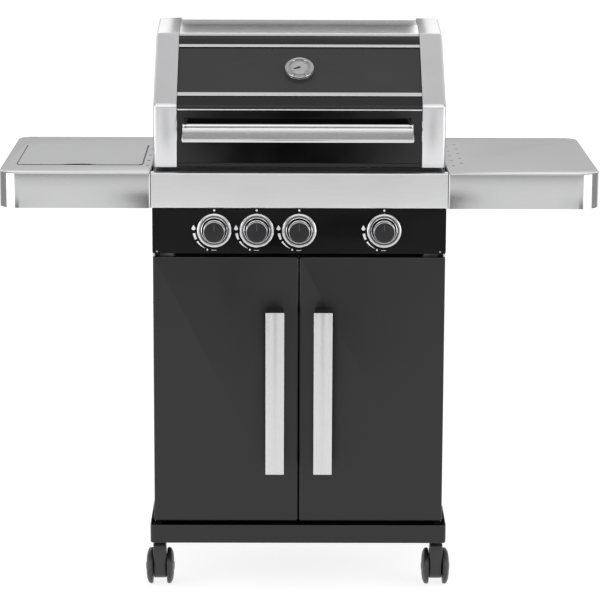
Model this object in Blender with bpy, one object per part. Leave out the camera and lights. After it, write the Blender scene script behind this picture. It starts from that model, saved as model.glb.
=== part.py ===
"""Gas barbecue grill on a two-door cabinet with casters, two side shelves and a covered side burner.

Metres, +Z up, front towards -Y. The origin is on the floor at the middle of the grill's outline.
Depths called "behind" are measured backwards from the front face of the shelves; at() makes them Y.
"""

from math import atan2, cos, hypot, pi, radians, sin

import bmesh
import bpy
from mathutils import Vector

# Driving dimensions
TOTAL_WIDTH = 1.245
BODY_WIDTH = 0.614        # between the two side shelves
SHELF_DEPTH = 0.500
SHELF_TOP = 0.906
SKIRT = 0.074             # height of the shelves' and the fascia's front band
HANDLE_REACH = 0.045      # door handles in front of the shelves' front face
FRONT = (HANDLE_REACH - SHELF_DEPTH) / 2

GAP = 0.0003              # between pieces that touch
SHEET = 0.0015            # sheet metal
SKIRT_BOTTOM = SHELF_TOP - SKIRT

# Hood, as (behind, height) corners of its end caps, from the front edge over the top to the back
HOOD_WIDTH = 0.603
CAP_WIDTH = 0.048
HOOD_BOTTOM = 0.915
HOOD_FRONT = 0.020
HOOD_BEND = (HOOD_FRONT, 1.045)
HOOD_BROW = (0.194, 1.173)
HOOD_CROWN = (0.359, 1.189)
HOOD_SHOULDER = (0.438, 1.150)
HOOD_TAIL = (0.478, 0.947)
SHELL_INSET = 0.005       # the black shell lies this far inside the caps' outline
HINGE_BEHIND = 0.458
HINGE_HEIGHT = 0.930
HOOD_HANDLE_MIDDLE = -0.0035  # the handle sits a little left of the hood's middle
HOOD_HANDLE_HALF = 0.2380
HOOD_HANDLE_LOW = 0.973
HOOD_HANDLE_HIGH = 1.011
HOOD_HANDLE_REACH = 0.028
DIAL_ALONG_SLOPE = 0.51   # from the brow down to the bend
NEEDLE_REST = radians(202)  # the needle's cold position, anticlockwise from the dial's right
BAND_DOWN_BACK = 0.4      # how far the steel top band runs down the back, from the shoulder to the tail

# Cabinet
CABINET_HALF = 0.305
CABINET_BACK = 0.470
BASE_HALF = 0.313
BASE_BOTTOM = 0.112
BASE_TOP = 0.152
DOOR_LOW = 0.159
DOOR_HIGH = 0.728
DOORS_HALF = 0.304
DOOR_SPLIT = 0.003
DOOR_FACE = 0.008
DOOR_DEPTH = 0.020
DOOR_PIN_INSET = 0.0028
HANDLE_WIDTH = 0.039
HANDLE_CENTRE = 0.0500
HANDLE_LOW = 0.275
HANDLE_HIGH = 0.621
STRAP = 0.004

# Control panel
PANEL_HALF = 0.3048
PANEL_LOW = 0.7355
KNOB_HEIGHT = 0.785
KNOB_PLACES = (-0.176, -0.088, 0.0, 0.176)
BURNER_PLACES = (-0.176, 0.0, 0.176)
STEM_RADIUS = 0.0037

# Fire box
BOX_TOP = 0.9025
LEDGE = 0.866
GRATE_THICK = 0.012

# Side burner, in the left shelf
BURNER_X = -0.4600
BURNER_BEHIND = 0.240
LID_HALF_X = 0.1305
LID_HALF_Y = 0.136
LID_TOP = 0.9075

# Casters
CASTER_X = 0.2955
CASTER_BEHIND = (0.058, 0.420)
TRAIL = 0.020
WHEEL_RADIUS = 0.039
WHEEL_OUTSIDE = 0.0305
HOUSING_HALF = 0.0137

ALONG_X = (pi / 2, 0, pi / 2)     # local X, Y, Z become world Y, Z, X
TO_FRONT = (pi / 2, 0, 0)         # local X, Y, Z become world X, Z, -Y
UPRIGHT = (0, 0, 0)


def clear_scene():
    for item in list(bpy.data.objects):
        bpy.data.objects.remove(item, do_unlink=True)


def make_material(name, colour, roughness, metallic):
    material = bpy.data.materials.new(name)
    material.use_nodes = True
    shader = material.node_tree.nodes["Principled BSDF"]
    shader.inputs["Base Color"].default_value = (*colour, 1)
    shader.inputs["Roughness"].default_value = roughness
    shader.inputs["Metallic"].default_value = metallic
    return material


def mesh_from_rings(name, rings, closed=False):
    """A skin over rings of equal length, with a flat cap on each end, or joined end to end when closed."""
    count = len(rings[0])
    points = [point for ring in rings for point in ring]
    faces = []
    spans = len(rings) if closed else len(rings) - 1
    for span in range(spans):
        low = span * count
        high = (span + 1) % len(rings) * count
        for k in range(count):
            n = (k + 1) % count
            faces.append((low + k, low + n, high + n, high + k))
    if not closed:
        faces.append(tuple(reversed(range(count))))
        faces.append(tuple(range((len(rings) - 1) * count, len(rings) * count)))
    mesh = bpy.data.meshes.new(name)
    mesh.from_pydata(points, [], faces)
    skin = bmesh.new()
    skin.from_mesh(mesh)
    bmesh.ops.recalc_face_normals(skin, faces=skin.faces)
    skin.to_mesh(mesh)
    skin.free()
    return mesh


def turned(name, profile, segments=24, closed=False):
    """A lathe shape about local Z from (radius, height) pairs."""
    rings = []
    for radius, height in profile:
        turns = [2 * pi * k / segments for k in range(segments)]
        rings.append([(radius * cos(t), radius * sin(t), height) for t in turns])
    mesh = mesh_from_rings(name, rings, closed)
    mesh.shade_smooth()
    mesh.set_sharp_from_angle(angle=radians(35))
    return mesh


def prism(name, outline, low, high):
    """An outline in local XY carried from low to high along local Z."""
    return mesh_from_rings(name, [[(x, y, z) for x, y in outline] for z in (low, high)])


def rectangle(x0, x1, y0, y1, radii=(0, 0, 0, 0), steps=0):
    """Corners in order: low-x low-y, high-x low-y, high-x high-y, low-x high-y."""
    corners = ((x0, y0, 1, 1), (x1, y0, -1, 1), (x1, y1, -1, -1), (x0, y1, 1, -1))
    points = []
    for number, (x, y, sx, sy) in enumerate(corners):
        radius = radii[number]
        if not steps:
            points.append((x, y))
            continue
        start = pi + number * pi / 2
        for k in range(steps + 1):
            turn = start + k * pi / 2 / steps
            points.append((x + sx * radius + radius * cos(turn), y + sy * radius + radius * sin(turn)))
    return points


def ring_at(outline, z):
    return [(x, y, z) for x, y in outline]


def beside(path, distance):
    """The path moved sideways, to the left of its direction, with mitred corners."""
    moved = []
    for k, (x, y) in enumerate(path):
        before = path[max(k - 1, 0)]
        after = path[min(k + 1, len(path) - 1)]
        first = Vector((x - before[0], y - before[1]))
        second = Vector((after[0] - x, after[1] - y))
        first = (first if first.length else second).normalized()
        second = (second if second.length else first).normalized()
        middle = (first + second).normalized()
        reach = distance / middle.dot(first)
        moved.append((x - middle.y * reach, y + middle.x * reach))
    return moved


def rounded(path, radii, steps=3):
    """An open path with its inner corners replaced by arcs of the given radii."""
    points = [path[0]]
    for k in range(1, len(path) - 1):
        corner = Vector(path[k])
        back = (Vector(path[k - 1]) - corner).normalized()
        ahead = (Vector(path[k + 1]) - corner).normalized()
        half = back.angle(ahead) / 2
        radius = radii[k - 1]
        centre = corner + (back + ahead).normalized() * radius / sin(half)
        from_centre = corner + back * radius * cos(half) / sin(half) - centre
        to_centre = corner + ahead * radius * cos(half) / sin(half) - centre
        start = atan2(from_centre.y, from_centre.x)
        sweep = from_centre.angle_signed(to_centre)
        for step in range(steps + 1):
            turn = start - sweep * step / steps
            points.append((centre.x + radius * cos(turn), centre.y + radius * sin(turn)))
    points.append(path[-1])
    return points


def bent_sheet(path, thickness):
    """The closed outline of a sheet whose outer face is the path and whose body lies to its left."""
    return list(path) + list(reversed(beside(path, thickness)))


def pivot(name, place):
    empty = bpy.data.objects.new(name, None)
    empty.location = place
    bpy.context.scene.collection.objects.link(empty)
    return empty


def add(name, mesh, material, place=(0, 0, 0), turn=UPRIGHT, parent=None):
    item = bpy.data.objects.new(name, mesh)
    bpy.context.scene.collection.objects.link(item)
    if not mesh.materials:
        mesh.materials.append(material)
    item.rotation_euler = turn
    item.location = place
    if parent:
        item.parent = parent
        item.location = Vector(place) - parent.location
    return item


def boolean(item, other, operation):
    other.hide_render = True
    other.display_type = "WIRE"
    step = item.modifiers.new(other.name, "BOOLEAN")
    step.operation = operation
    step.object = other
    step.solver = "EXACT"


def cut(item, mesh, place=(0, 0, 0), turn=UPRIGHT):
    boolean(item, add(f"{item.name}_cut_{len(item.modifiers)}", mesh, STEEL, place, turn), "DIFFERENCE")


def join(item, mesh, place=(0, 0, 0), turn=UPRIGHT):
    boolean(item, add(f"{item.name}_join_{len(item.modifiers)}", mesh, STEEL, place, turn), "UNION")


def at(behind):
    return FRONT + behind


def block(name, x0, x1, behind0, behind1, z0, z1):
    return prism(name, rectangle(x0, x1, at(behind0), at(behind1)), z0, z1)


# Cabinet


def make_base():
    corners = (0.008,) * 4
    outer = rectangle(-BASE_HALF, BASE_HALF, at(0), at(0.475), corners, 2)
    inner = rectangle(-BASE_HALF + 0.002, BASE_HALF - 0.002, at(0.002), at(0.473), (0.006,) * 4, 2)
    rings = [ring_at(outer, BASE_BOTTOM), ring_at(outer, BASE_TOP)]
    rings += [ring_at(inner, BASE_TOP), ring_at(inner, BASE_BOTTOM + 0.002)]
    add("base_pan", mesh_from_rings("base_pan", rings), CABINET)


def make_side_panels():
    low = BASE_BOTTOM + 0.002 + GAP
    for side, word in ((-1, "left"), (1, "right")):
        path = [(0.290, 0.0305), (CABINET_HALF, 0.0305), (CABINET_HALF, CABINET_BACK), (0.290, CABINET_BACK)]
        outline = [(side * x, at(y)) for x, y in bent_sheet(path, SHEET)]
        add(f"side_panel_{word}", prism("side_panel", outline, low, 0.900), CABINET)


def make_back_and_rail():
    low = BASE_BOTTOM + 0.002 + GAP
    back = CABINET_BACK + GAP
    add("back_panel", block("back_panel", -0.304, 0.304, back, back + SHEET, low, 0.640), CABINET)
    path = [(at(0.052), 0.7275), (at(0.0325), 0.7275), (at(0.0325), 0.702), (at(0.052), 0.702)]
    rail = prism("front_rail", bent_sheet(path, SHEET), -0.3032, 0.3032)
    add("front_rail", rail, CABINET, turn=ALONG_X)
    add("door_catch", block("door_catch", -0.022, 0.022, 0.0288, 0.046, 0.688, 0.702 - GAP), PLASTIC)


def make_fascia_and_panel():
    low = SKIRT_BOTTOM + GAP
    path = [(at(0.022), SHELF_TOP), (at(0), SHELF_TOP), (at(0), low), (at(0.022), low)]
    half = BODY_WIDTH / 2 - GAP
    fascia = prism("front_fascia", bent_sheet(path, SHEET), -half, half)
    add("front_fascia", fascia, STEEL, turn=ALONG_X)

    middle = (PANEL_LOW + SKIRT_BOTTOM) / 2
    half_z = (SKIRT_BOTTOM - PANEL_LOW) / 2
    outer = rectangle(-PANEL_HALF, PANEL_HALF, -half_z, half_z, (0.003,) * 4, 2)
    wide, high = PANEL_HALF - SHEET, half_z - SHEET
    inner = rectangle(-wide, wide, -high, high, (0.0015,) * 4, 2)
    rings = [ring_at(inner, -SHEET), ring_at(inner, -0.022), ring_at(outer, -0.022), ring_at(outer, 0)]
    panel = mesh_from_rings("control_panel", rings)
    panel_item = add("control_panel", panel, PANEL, (0, at(DOOR_FACE), middle), TO_FRONT)
    hole = turned("stem_hole", ((0.006, -0.01), (0.006, 0.01)), 16)
    for x in KNOB_PLACES:
        cut(panel_item, hole, (x, at(DOOR_FACE), KNOB_HEIGHT), TO_FRONT)


def make_doors():
    width = DOORS_HALF - DOOR_SPLIT / 2
    middle = (DOOR_LOW + DOOR_HIGH) / 2
    half_x = width / 2
    half_z = (DOOR_HIGH - DOOR_LOW) / 2
    outer = rectangle(-half_x, half_x, -half_z, half_z, (0.004,) * 4, 2)
    wide, high = half_x - SHEET, half_z - SHEET
    inner = rectangle(-wide, wide, -high, high, (0.0025,) * 4, 2)
    rings = [ring_at(inner, -SHEET), ring_at(inner, -DOOR_DEPTH)]
    rings += [ring_at(outer, -DOOR_DEPTH), ring_at(outer, 0)]
    leaf = mesh_from_rings("door", rings)
    reach = [(at(DOOR_FACE) - GAP, HANDLE_HIGH), (at(-HANDLE_REACH), HANDLE_HIGH)]
    reach += [(at(-HANDLE_REACH), HANDLE_LOW), (at(DOOR_FACE) - GAP, HANDLE_LOW)]
    strap = prism("door_handle", bent_sheet(rounded(reach, (0.006, 0.006)), STRAP), 0, HANDLE_WIDTH)
    for side, word in ((-1, "left"), (1, "right")):
        hinge = pivot(f"door_{word}_hinge", (side * (DOORS_HALF - DOOR_PIN_INSET), at(0.0255), 0))
        centre = side * (DOORS_HALF + DOOR_SPLIT / 2) / 2
        add(f"door_{word}", leaf, CABINET, (centre, at(DOOR_FACE), middle), TO_FRONT, hinge)
        edge = side * HANDLE_CENTRE - HANDLE_WIDTH / 2
        add(f"door_handle_{word}", strap, STEEL, (edge, 0, 0), ALONG_X, hinge)


# Gas parts


def make_knobs():
    face = at(DOOR_FACE)
    ring = ((0.0062, GAP), (0.0365, GAP), (0.0365, 0.0040), (0.0350, 0.0064),
            (0.0320, 0.0072), (0.0290, 0.0060), (0.0262, 0.0028), (0.0062, 0.0024))
    bezel = turned("knob_bezel", ring, 32, closed=True)
    grip = ((0.0040, 0.0225), (0.0040, 0.0070), (0.0220, 0.0070), (0.0220, 0.0105), (0.0200, 0.0125),
            (0.0186, 0.0262), (0.0168, 0.0280))
    knob = turned("knob", grip, 28)
    stem = turned("valve_stem", ((STEM_RADIUS, -0.038), (STEM_RADIUS, 0.0210)), 12)
    for number, x in enumerate(KNOB_PLACES, 1):
        place = (x, face, KNOB_HEIGHT)
        add(f"knob_bezel_{number}", bezel, CHROME, place, TO_FRONT)
        push = pivot(f"valve_{number}_axis", place)
        add(f"valve_stem_{number}", stem, BRASS, place, TO_FRONT, push)
        add(f"knob_{number}", knob, PLASTIC, place, TO_FRONT, push)


def make_manifold():
    profile = ((0.008, -0.215), (0.008, 0.232), (0.012, 0.232), (0.012, 0.246),
               (0.0085, 0.246), (0.0085, 0.262), (0.005, 0.262), (0.005, 0.242))
    tube = turned("gas_manifold", profile, 12)
    pipe = add("gas_manifold", tube, BRASS, (0, at(0.055), 0.7665), ALONG_X)
    bore = turned("stem_bore", ((STEM_RADIUS + GAP, -0.048), (STEM_RADIUS + GAP, 0)), 12)
    nozzle = turned("gas_nozzle", ((0.004, -0.076), (0.004, -0.055)), 8)
    for x in KNOB_PLACES:
        join(pipe, block("valve_block", x - 0.010, x + 0.010, 0.041, 0.069, 0.773, 0.797))
        if x in BURNER_PLACES:
            join(pipe, nozzle, (x, at(DOOR_FACE), KNOB_HEIGHT), TO_FRONT)
        cut(pipe, bore, (x, at(DOOR_FACE), KNOB_HEIGHT), TO_FRONT)


def make_fire_box():
    def level(half_x, behind0, behind1, z, radius):
        return ring_at(rectangle(-half_x, half_x, at(behind0), at(behind1), (radius,) * 4, 2), z)

    flange_low = BOX_TOP - 0.0022
    rings = [level(0.262, 0.118, 0.426, 0.722, 0.016), level(0.274, 0.105, 0.439, 0.800, 0.018)]
    rings += [level(0.274, 0.105, 0.439, 0.860, 0.018), level(0.283, 0.096, 0.448, 0.863, 0.020)]
    rings += [level(0.283, 0.096, 0.448, flange_low, 0.020), level(0.3003, 0.0245, 0.469, flange_low, 0.006)]
    rings += [level(0.3003, 0.0245, 0.469, BOX_TOP, 0.006), level(0.279, 0.100, 0.444, BOX_TOP, 0.016)]
    rings += [level(0.279, 0.100, 0.444, LEDGE, 0.016), level(0.270, 0.109, 0.435, LEDGE, 0.014)]
    rings += [level(0.270, 0.109, 0.435, 0.801, 0.014), level(0.258, 0.122, 0.422, 0.7265, 0.012)]
    box = add("fire_box", mesh_from_rings("fire_box", rings), ENAMEL)

    cut(box, block("grease_slot", -0.160, 0.160, 0.240, 0.300, 0.700, 0.750))
    entry = turned("burner_entry", ((0.0140, -0.125), (0.0140, -0.085)), 12)
    for x in BURNER_PLACES:
        cut(box, entry, (x, at(0), KNOB_HEIGHT), TO_FRONT)

    middle, radius = at(HINGE_BEHIND), 0.010
    turns = [pi * k / 6 for k in range(7)]
    ear = [(middle + radius * cos(t), HINGE_HEIGHT + radius * sin(t)) for t in turns]
    ear += [(middle - radius, BOX_TOP - 0.001), (middle + radius, BOX_TOP - 0.001)]
    hole = turned("rod_hole", ((0.0043, -0.31), (0.0043, 0.31)), 12)
    for side in (-1, 1):
        span = sorted((side * 0.286, side * 0.290))
        join(box, prism("hinge_ear", ear, *span), turn=ALONG_X)
        foot = [(0.192, 0.7065), (0.2075, 0.7065), (0.2075, 0.724)]
        foot += [(0.206, 0.724), (0.206, 0.708), (0.192, 0.708)]
        outline = [(side * x, z) for x, z in foot]
        join(box, prism("tray_rail", outline, -at(0.420), -at(0.130)), turn=TO_FRONT)
    cut(box, hole, (0, at(HINGE_BEHIND), HINGE_HEIGHT), ALONG_X)


def make_burners():
    profile = ((0.0105, -0.140), (0.0105, -0.0858), (0.012, -0.0858), (0.012, -0.424))
    tube = turned("burner", profile, 12)
    chevron = rounded([(-0.055, 0.812), (0, 0.838), (0.055, 0.812)], (0.004,), 2)
    outline = bent_sheet(chevron, -SHEET)
    plate = prism("heat_plate", outline, -0.432, -0.112)
    for number, x in enumerate(BURNER_PLACES, 1):
        add(f"burner_{number}", tube, STEEL, (x, at(0), KNOB_HEIGHT), TO_FRONT)
        add(f"heat_plate_{number}", plate, STEEL, (x, at(0), 0), TO_FRONT)


def make_grates():
    slots = 11
    bar = 0.009
    x0, x1 = 0.0008, 0.2775
    pitch = (x1 - x0 - bar) / slots
    outline = rectangle(x0, x1, at(0.1015), at(0.4425), (0.002, 0.014, 0.014, 0.002), 2)
    for side, word in ((-1, "left"), (1, "right")):
        mirrored = [(side * x, y) for x, y in outline]
        mesh = prism("cooking_grate", mirrored, LEDGE + GAP, LEDGE + GAP + GRATE_THICK)
        grate = add(f"cooking_grate_{word}", mesh, IRON)
        for k in range(slots):
            start = x0 + bar + k * pitch
            span = sorted((side * start, side * (start + pitch - bar)))
            cut(grate, block("grate_slot", *span, 0.118, 0.426, 0.85, 0.89))


def make_rack():
    path = [(-0.292, BOX_TOP + GAP), (-0.292, 0.978), (0.292, 0.978), (0.292, BOX_TOP + GAP)]
    outline = bent_sheet(rounded(path, (0.008, 0.008), 2), -0.004)
    rack = add("warming_rack", prism("warming_rack", outline, -at(0.410), -at(0.300)), CHROME, turn=TO_FRONT)
    bars = 7
    pitch = (0.110 - 0.004) / bars
    for k in range(bars):
        start = 0.304 + k * pitch
        cut(rack, block("rack_slot", -0.278, 0.278, start, start + pitch - 0.004, 0.96, 0.99))
    rod = turned("hood_hinge_rod", ((0.004, -0.3042), (0.004, 0.3042)), 12)
    add("hood_hinge_rod", rod, STEEL, (0, at(HINGE_BEHIND), HINGE_HEIGHT), ALONG_X)


# Hood


def hood_path(inset, low, tail_low):
    """The hood's outline seen from the side, moved in by the inset, as (absolute Y, Z)."""
    corners = [(HOOD_FRONT, low), HOOD_BEND, HOOD_BROW, HOOD_CROWN, HOOD_SHOULDER, HOOD_TAIL]
    moved = beside(corners, -inset)
    moved[0] = (moved[0][0], low)
    moved[-1] = (moved[-1][0], tail_low)
    radii = (0.014 - inset, 0.022 - inset, 0.024 - inset, 0.034 - inset)
    return [(at(y), z) for y, z in rounded(moved, radii)]


def slope_point(along, above):
    """A point on the hood's slope: along from the brow (0) to the bend (1), above the caps' outline."""
    run = Vector(HOOD_BEND) - Vector(HOOD_BROW)
    point = Vector(HOOD_BROW) + run * along
    normal = Vector((run.y, -run.x)).normalized()
    point += normal * above
    return (at(point.x), point.y)


def make_caps(hood):
    outer = hood_path(0, HOOD_BOTTOM, HOOD_BOTTOM)
    hollow = hood_path(0.002, HOOD_BOTTOM - 0.02, HOOD_TAIL[1])
    hollow += [(at(0.500), HOOD_TAIL[1]), (at(0.500), HOOD_BOTTOM - 0.02)]
    hole = turned("rod_hole", ((0.0043, -0.31), (0.0043, 0.31)), 12)
    half = HOOD_WIDTH / 2
    for side, word in ((-1, "left"), (1, "right")):
        span = sorted((side * (half - CAP_WIDTH), side * half))
        cap = add(f"hood_cap_{word}", prism("hood_cap", outer, *span), STEEL, turn=ALONG_X, parent=hood)
        inside = sorted((side * (half - CAP_WIDTH - 0.01), side * (half - 0.002)))
        cut(cap, prism("cap_hollow", hollow, *inside), turn=ALONG_X)
        cut(cap, hole, (0, at(HINGE_BEHIND), HINGE_HEIGHT), ALONG_X)


def make_shell(hood):
    half = HOOD_WIDTH / 2 - CAP_WIDTH - GAP
    outline = bent_sheet(hood_path(SHELL_INSET, HOOD_BOTTOM, HOOD_TAIL[1]), -SHEET)
    add("hood_shell", prism("hood_shell", outline, -half, half), ENAMEL, turn=ALONG_X, parent=hood)

    skin = SHELL_INSET - 0.0015
    path = hood_path(skin, HOOD_BOTTOM, HOOD_TAIL[1])
    shoulder, tail = Vector(path[-2]), Vector(path[-1])
    path = [slope_point(0.03, -skin)] + path[5:-1] + [tuple(shoulder.lerp(tail, BAND_DOWN_BACK))]
    band = prism("hood_top_band", bent_sheet(path, -0.0012), -half, half)
    add("hood_top_band", band, STEEL, turn=ALONG_X, parent=hood)

    for word, along0, along1 in (("upper", 0.1435, 0.179), ("lower", 0.8145, 0.8606)):
        low = -SHELL_INSET + GAP
        high = low + 0.0020
        outline = [slope_point(along0, low), slope_point(along0, high)]
        outline += [slope_point(along1, high), slope_point(along1, low)]
        trim = prism("hood_trim", outline, -half, half)
        add(f"hood_trim_{word}", trim, STEEL, turn=ALONG_X, parent=hood)


def make_hood_handle(hood):
    foot = at(HOOD_FRONT + SHELL_INSET - GAP)
    reach = at(-HOOD_HANDLE_REACH)
    left, right = HOOD_HANDLE_MIDDLE - HOOD_HANDLE_HALF, HOOD_HANDLE_MIDDLE + HOOD_HANDLE_HALF
    path = [(left, foot), (left, reach), (right, reach), (right, foot)]
    outline = bent_sheet(rounded(path, (0.006, 0.006)), STRAP)
    add("hood_handle", prism("hood_handle", outline, HOOD_HANDLE_LOW, HOOD_HANDLE_HIGH), STEEL, parent=hood)


def make_thermometer(hood):
    y, z = slope_point(DIAL_ALONG_SLOPE, -SHELL_INSET)
    run = Vector(HOOD_BROW) - Vector(HOOD_BEND)
    tilt = (atan2(run.y, run.x), 0, 0)
    ring = ((0.0303, GAP), (0.0303, 0.0100), (0.0290, 0.0114), (0.0226, 0.0135), (0.0213, 0.0135), (0.0210, 0.0115))
    add("thermometer_case", turned("thermometer_case", ring, 28), CHROME, (0, y, z), tilt, hood)
    hub = [(0.0025, NEEDLE_REST + radians(90 + 45 * k)) for k in range(5)]
    tip = [(0.0130, NEEDLE_REST + side * 0.035) for side in (-1, 1)]
    pointer = [(reach * cos(turn), reach * sin(turn)) for reach, turn in hub + tip]
    needle = prism("thermometer_needle", pointer, 0.0120, 0.0128)
    add("thermometer_needle", needle, PLASTIC, (0, y, z), tilt, hood)


# Side shelves and side burner


def make_shelves():
    inside = BODY_WIDTH / 2 + GAP
    outside = TOTAL_WIDTH / 2
    steps = 4

    def plan(side, inset):
        radii = (0.004 - inset, 0.045 - inset, 0.030 - inset, 0.004 - inset)
        outline = rectangle(inside + inset, outside - inset, at(inset), at(SHELF_DEPTH - inset), radii, steps)
        return [(side * x, y) for x, y in outline]

    for side, word in ((-1, "left"), (1, "right")):
        rings = [ring_at(plan(side, SHEET), SHELF_TOP - SHEET), ring_at(plan(side, SHEET), SKIRT_BOTTOM)]
        rings += [ring_at(plan(side, 0), SKIRT_BOTTOM), ring_at(plan(side, 0), SHELF_TOP - 0.0028)]
        rings += [ring_at(plan(side, 0.0008), SHELF_TOP - 0.0008), ring_at(plan(side, 0.0028), SHELF_TOP)]
        shelf = add(f"side_shelf_{word}", mesh_from_rings("side_shelf", rings), STEEL)
        if word == "left":
            half_x, half_y = LID_HALF_X + 0.003, LID_HALF_Y + 0.003
            near, far = at(BURNER_BEHIND - half_y), at(BURNER_BEHIND + half_y)
            opening = rectangle(BURNER_X - half_x, BURNER_X + half_x, near, far, (0.012,) * 4, 2)
            cut(shelf, prism("lid_opening", opening, 0.88, 0.92))


def make_side_burner():
    def level(half_x, half_y, z, radius):
        x0, x1 = BURNER_X - half_x, BURNER_X + half_x
        near, far = at(BURNER_BEHIND - half_y), at(BURNER_BEHIND + half_y)
        return ring_at(rectangle(x0, x1, near, far, (radius,) * 4, 2), z)

    under = SHELF_TOP - SHEET - GAP
    rim = under - SHEET
    rings = [level(0.114, 0.119, 0.8435, 0.012), level(0.114, 0.119, 0.876, 0.012)]
    rings += [level(0.122, 0.127, 0.876, 0.014), level(0.122, 0.127, rim, 0.014)]
    rings += [level(0.1395, 0.145, rim, 0.014), level(0.1395, 0.145, under, 0.014)]
    rings += [level(0.1205, 0.1255, under, 0.0125)]
    rings += [level(0.1205, 0.1255, 0.8775, 0.0125), level(0.1125, 0.1175, 0.8775, 0.0105)]
    rings += [level(0.1125, 0.1175, 0.845, 0.0105)]
    add("side_burner_bowl", mesh_from_rings("side_burner_bowl", rings), ENAMEL)

    head = ((0.014, 0.8453), (0.014, 0.856), (0.036, 0.860), (0.036, 0.866), (0.028, 0.872))
    add("side_burner_head", turned("side_burner_head", head, 24), BRASS, (BURNER_X, at(BURNER_BEHIND), 0))

    low = 0.8775 + GAP
    rings = [level(0.1190, 0.1240, low, 0.012), level(0.1190, 0.1240, low + 0.009, 0.012)]
    support = add("side_burner_support", mesh_from_rings("side_burner_support", rings), IRON)
    for sx in (-1, 1):
        for sy in (-1, 1):
            x = sorted((BURNER_X + sx * 0.005, BURNER_X + sx * 0.110))
            y = sorted((BURNER_BEHIND + sy * 0.005, BURNER_BEHIND + sy * 0.115))
            cut(support, block("support_window", *x, *y, 0.86, 0.90))
    hinge = pivot("side_burner_lid_hinge", (BURNER_X, at(BURNER_BEHIND + LID_HALF_Y), LID_TOP + 0.0005))
    x0, x1 = BURNER_X - LID_HALF_X, BURNER_X + LID_HALF_X
    y0, y1 = at(BURNER_BEHIND - LID_HALF_Y), at(BURNER_BEHIND + LID_HALF_Y)
    outline = rectangle(x0, x1, y0, y1, (0.009,) * 4, 2)
    lid_mesh = prism("side_burner_lid", outline, under + GAP, LID_TOP)
    lid = add("side_burner_lid", lid_mesh, STEEL, parent=hinge)
    notch = rectangle(BURNER_X - 0.030, BURNER_X + 0.030, y0 - 0.02, y0 + 0.024, (0.012,) * 4, 3)
    cut(lid, prism("finger_notch", notch, 0.89, 0.92))


def make_grease_tray():
    def level(half_x, behind0, behind1, z):
        return ring_at(rectangle(-half_x, half_x, at(behind0), at(behind1)), z)

    flange = 0.708 + GAP
    rings = [level(0.186, 0.136, 0.416, 0.690), level(0.190, 0.132, 0.420, flange)]
    rings += [level(0.2055, 0.126, 0.452, flange), level(0.2055, 0.126, 0.452, flange + SHEET)]
    rings += [level(0.1885, 0.1335, 0.4185, flange + SHEET), level(0.1845, 0.1375, 0.4145, 0.6915)]
    add("grease_tray", mesh_from_rings("grease_tray", rings), STEEL)


# Casters


def make_casters():
    rim = 0.0145
    profile = ((0.033, -WHEEL_OUTSIDE), (WHEEL_RADIUS, -WHEEL_OUTSIDE + 0.003), (WHEEL_RADIUS, -rim - 0.002),
               (WHEEL_RADIUS - 0.002, -rim), (0.004, -rim), (0.004, rim), (WHEEL_RADIUS - 0.002, rim),
               (WHEEL_RADIUS, rim + 0.002), (WHEEL_RADIUS, WHEEL_OUTSIDE - 0.003), (0.033, WHEEL_OUTSIDE))
    wheels = turned("caster_wheels", profile, 20)
    top = BASE_BOTTOM - GAP
    sweep = [radians(-158 + 218 * k / 10) for k in range(11)]
    outline = [(TRAIL + 0.027 * cos(t), WHEEL_RADIUS + 0.027 * sin(t)) for t in sweep]
    outline += [(0.020, 0.094), (0.012, 0.098), (0.012, top), (-0.012, top), (-0.012, 0.098), (-0.019, 0.092)]
    housing = prism("caster_housing", outline, -HOUSING_HALF, HOUSING_HALF)
    bore = turned("axle_bore", ((0.0043, -0.02), (0.0043, 0.02)), 12)
    for row, behind in zip(("front", "rear"), CASTER_BEHIND):
        for side, word in ((-1, "left"), (1, "right")):
            place = (side * CASTER_X, at(behind), 0)
            swivel = pivot(f"caster_{row}_{word}_swivel", place)
            body = add(f"caster_housing_{row}_{word}", housing.copy(), PLASTIC, place, ALONG_X, swivel)
            axle = (side * CASTER_X, at(behind + TRAIL), WHEEL_RADIUS)
            cut(body, bore, axle, ALONG_X)
            add(f"caster_wheels_{row}_{word}", wheels, RUBBER, axle, ALONG_X, swivel)


clear_scene()
STEEL = make_material("stainless_steel", (0.62, 0.61, 0.59), 0.32, 1.0)
CABINET = make_material("cabinet_paint", (0.055, 0.055, 0.058), 0.45, 0.0)
PANEL = make_material("panel_paint", (0.018, 0.018, 0.020), 0.35, 0.0)
ENAMEL = make_material("black_enamel", (0.022, 0.022, 0.024), 0.30, 0.0)
CHROME = make_material("chrome", (0.80, 0.80, 0.80), 0.10, 1.0)
BRASS = make_material("brass", (0.62, 0.45, 0.20), 0.35, 1.0)
IRON = make_material("cast_iron", (0.040, 0.040, 0.040), 0.65, 0.4)
PLASTIC = make_material("black_plastic", (0.030, 0.030, 0.032), 0.45, 0.0)
RUBBER = make_material("wheel_plastic", (0.050, 0.050, 0.052), 0.60, 0.0)

make_base()
make_side_panels()
make_back_and_rail()
make_fascia_and_panel()
make_doors()
make_knobs()
make_manifold()
make_fire_box()
make_burners()
make_grates()
make_rack()
hood_pivot = pivot("hood_hinge", (0, at(HINGE_BEHIND), HINGE_HEIGHT))
make_caps(hood_pivot)
make_shell(hood_pivot)
make_hood_handle(hood_pivot)
make_thermometer(hood_pivot)
make_shelves()
make_side_burner()
make_grease_tray()
make_casters()
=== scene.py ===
# %% [markdown]
# # A gas barbecue grill
# The grill is a painted steel cabinet on casters with a hinged hood, a control panel and two side shelves.
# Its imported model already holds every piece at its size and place, so this file only makes the looks:
# better shapes for what is seen, finishes for every surface, a floor, lights and a camera. All lengths are
# metres.

# %% Load the frame
from math import atan2, cos, hypot, pi, radians, sin

import bmesh
import bpy
from mathutils import Matrix, Vector


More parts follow.
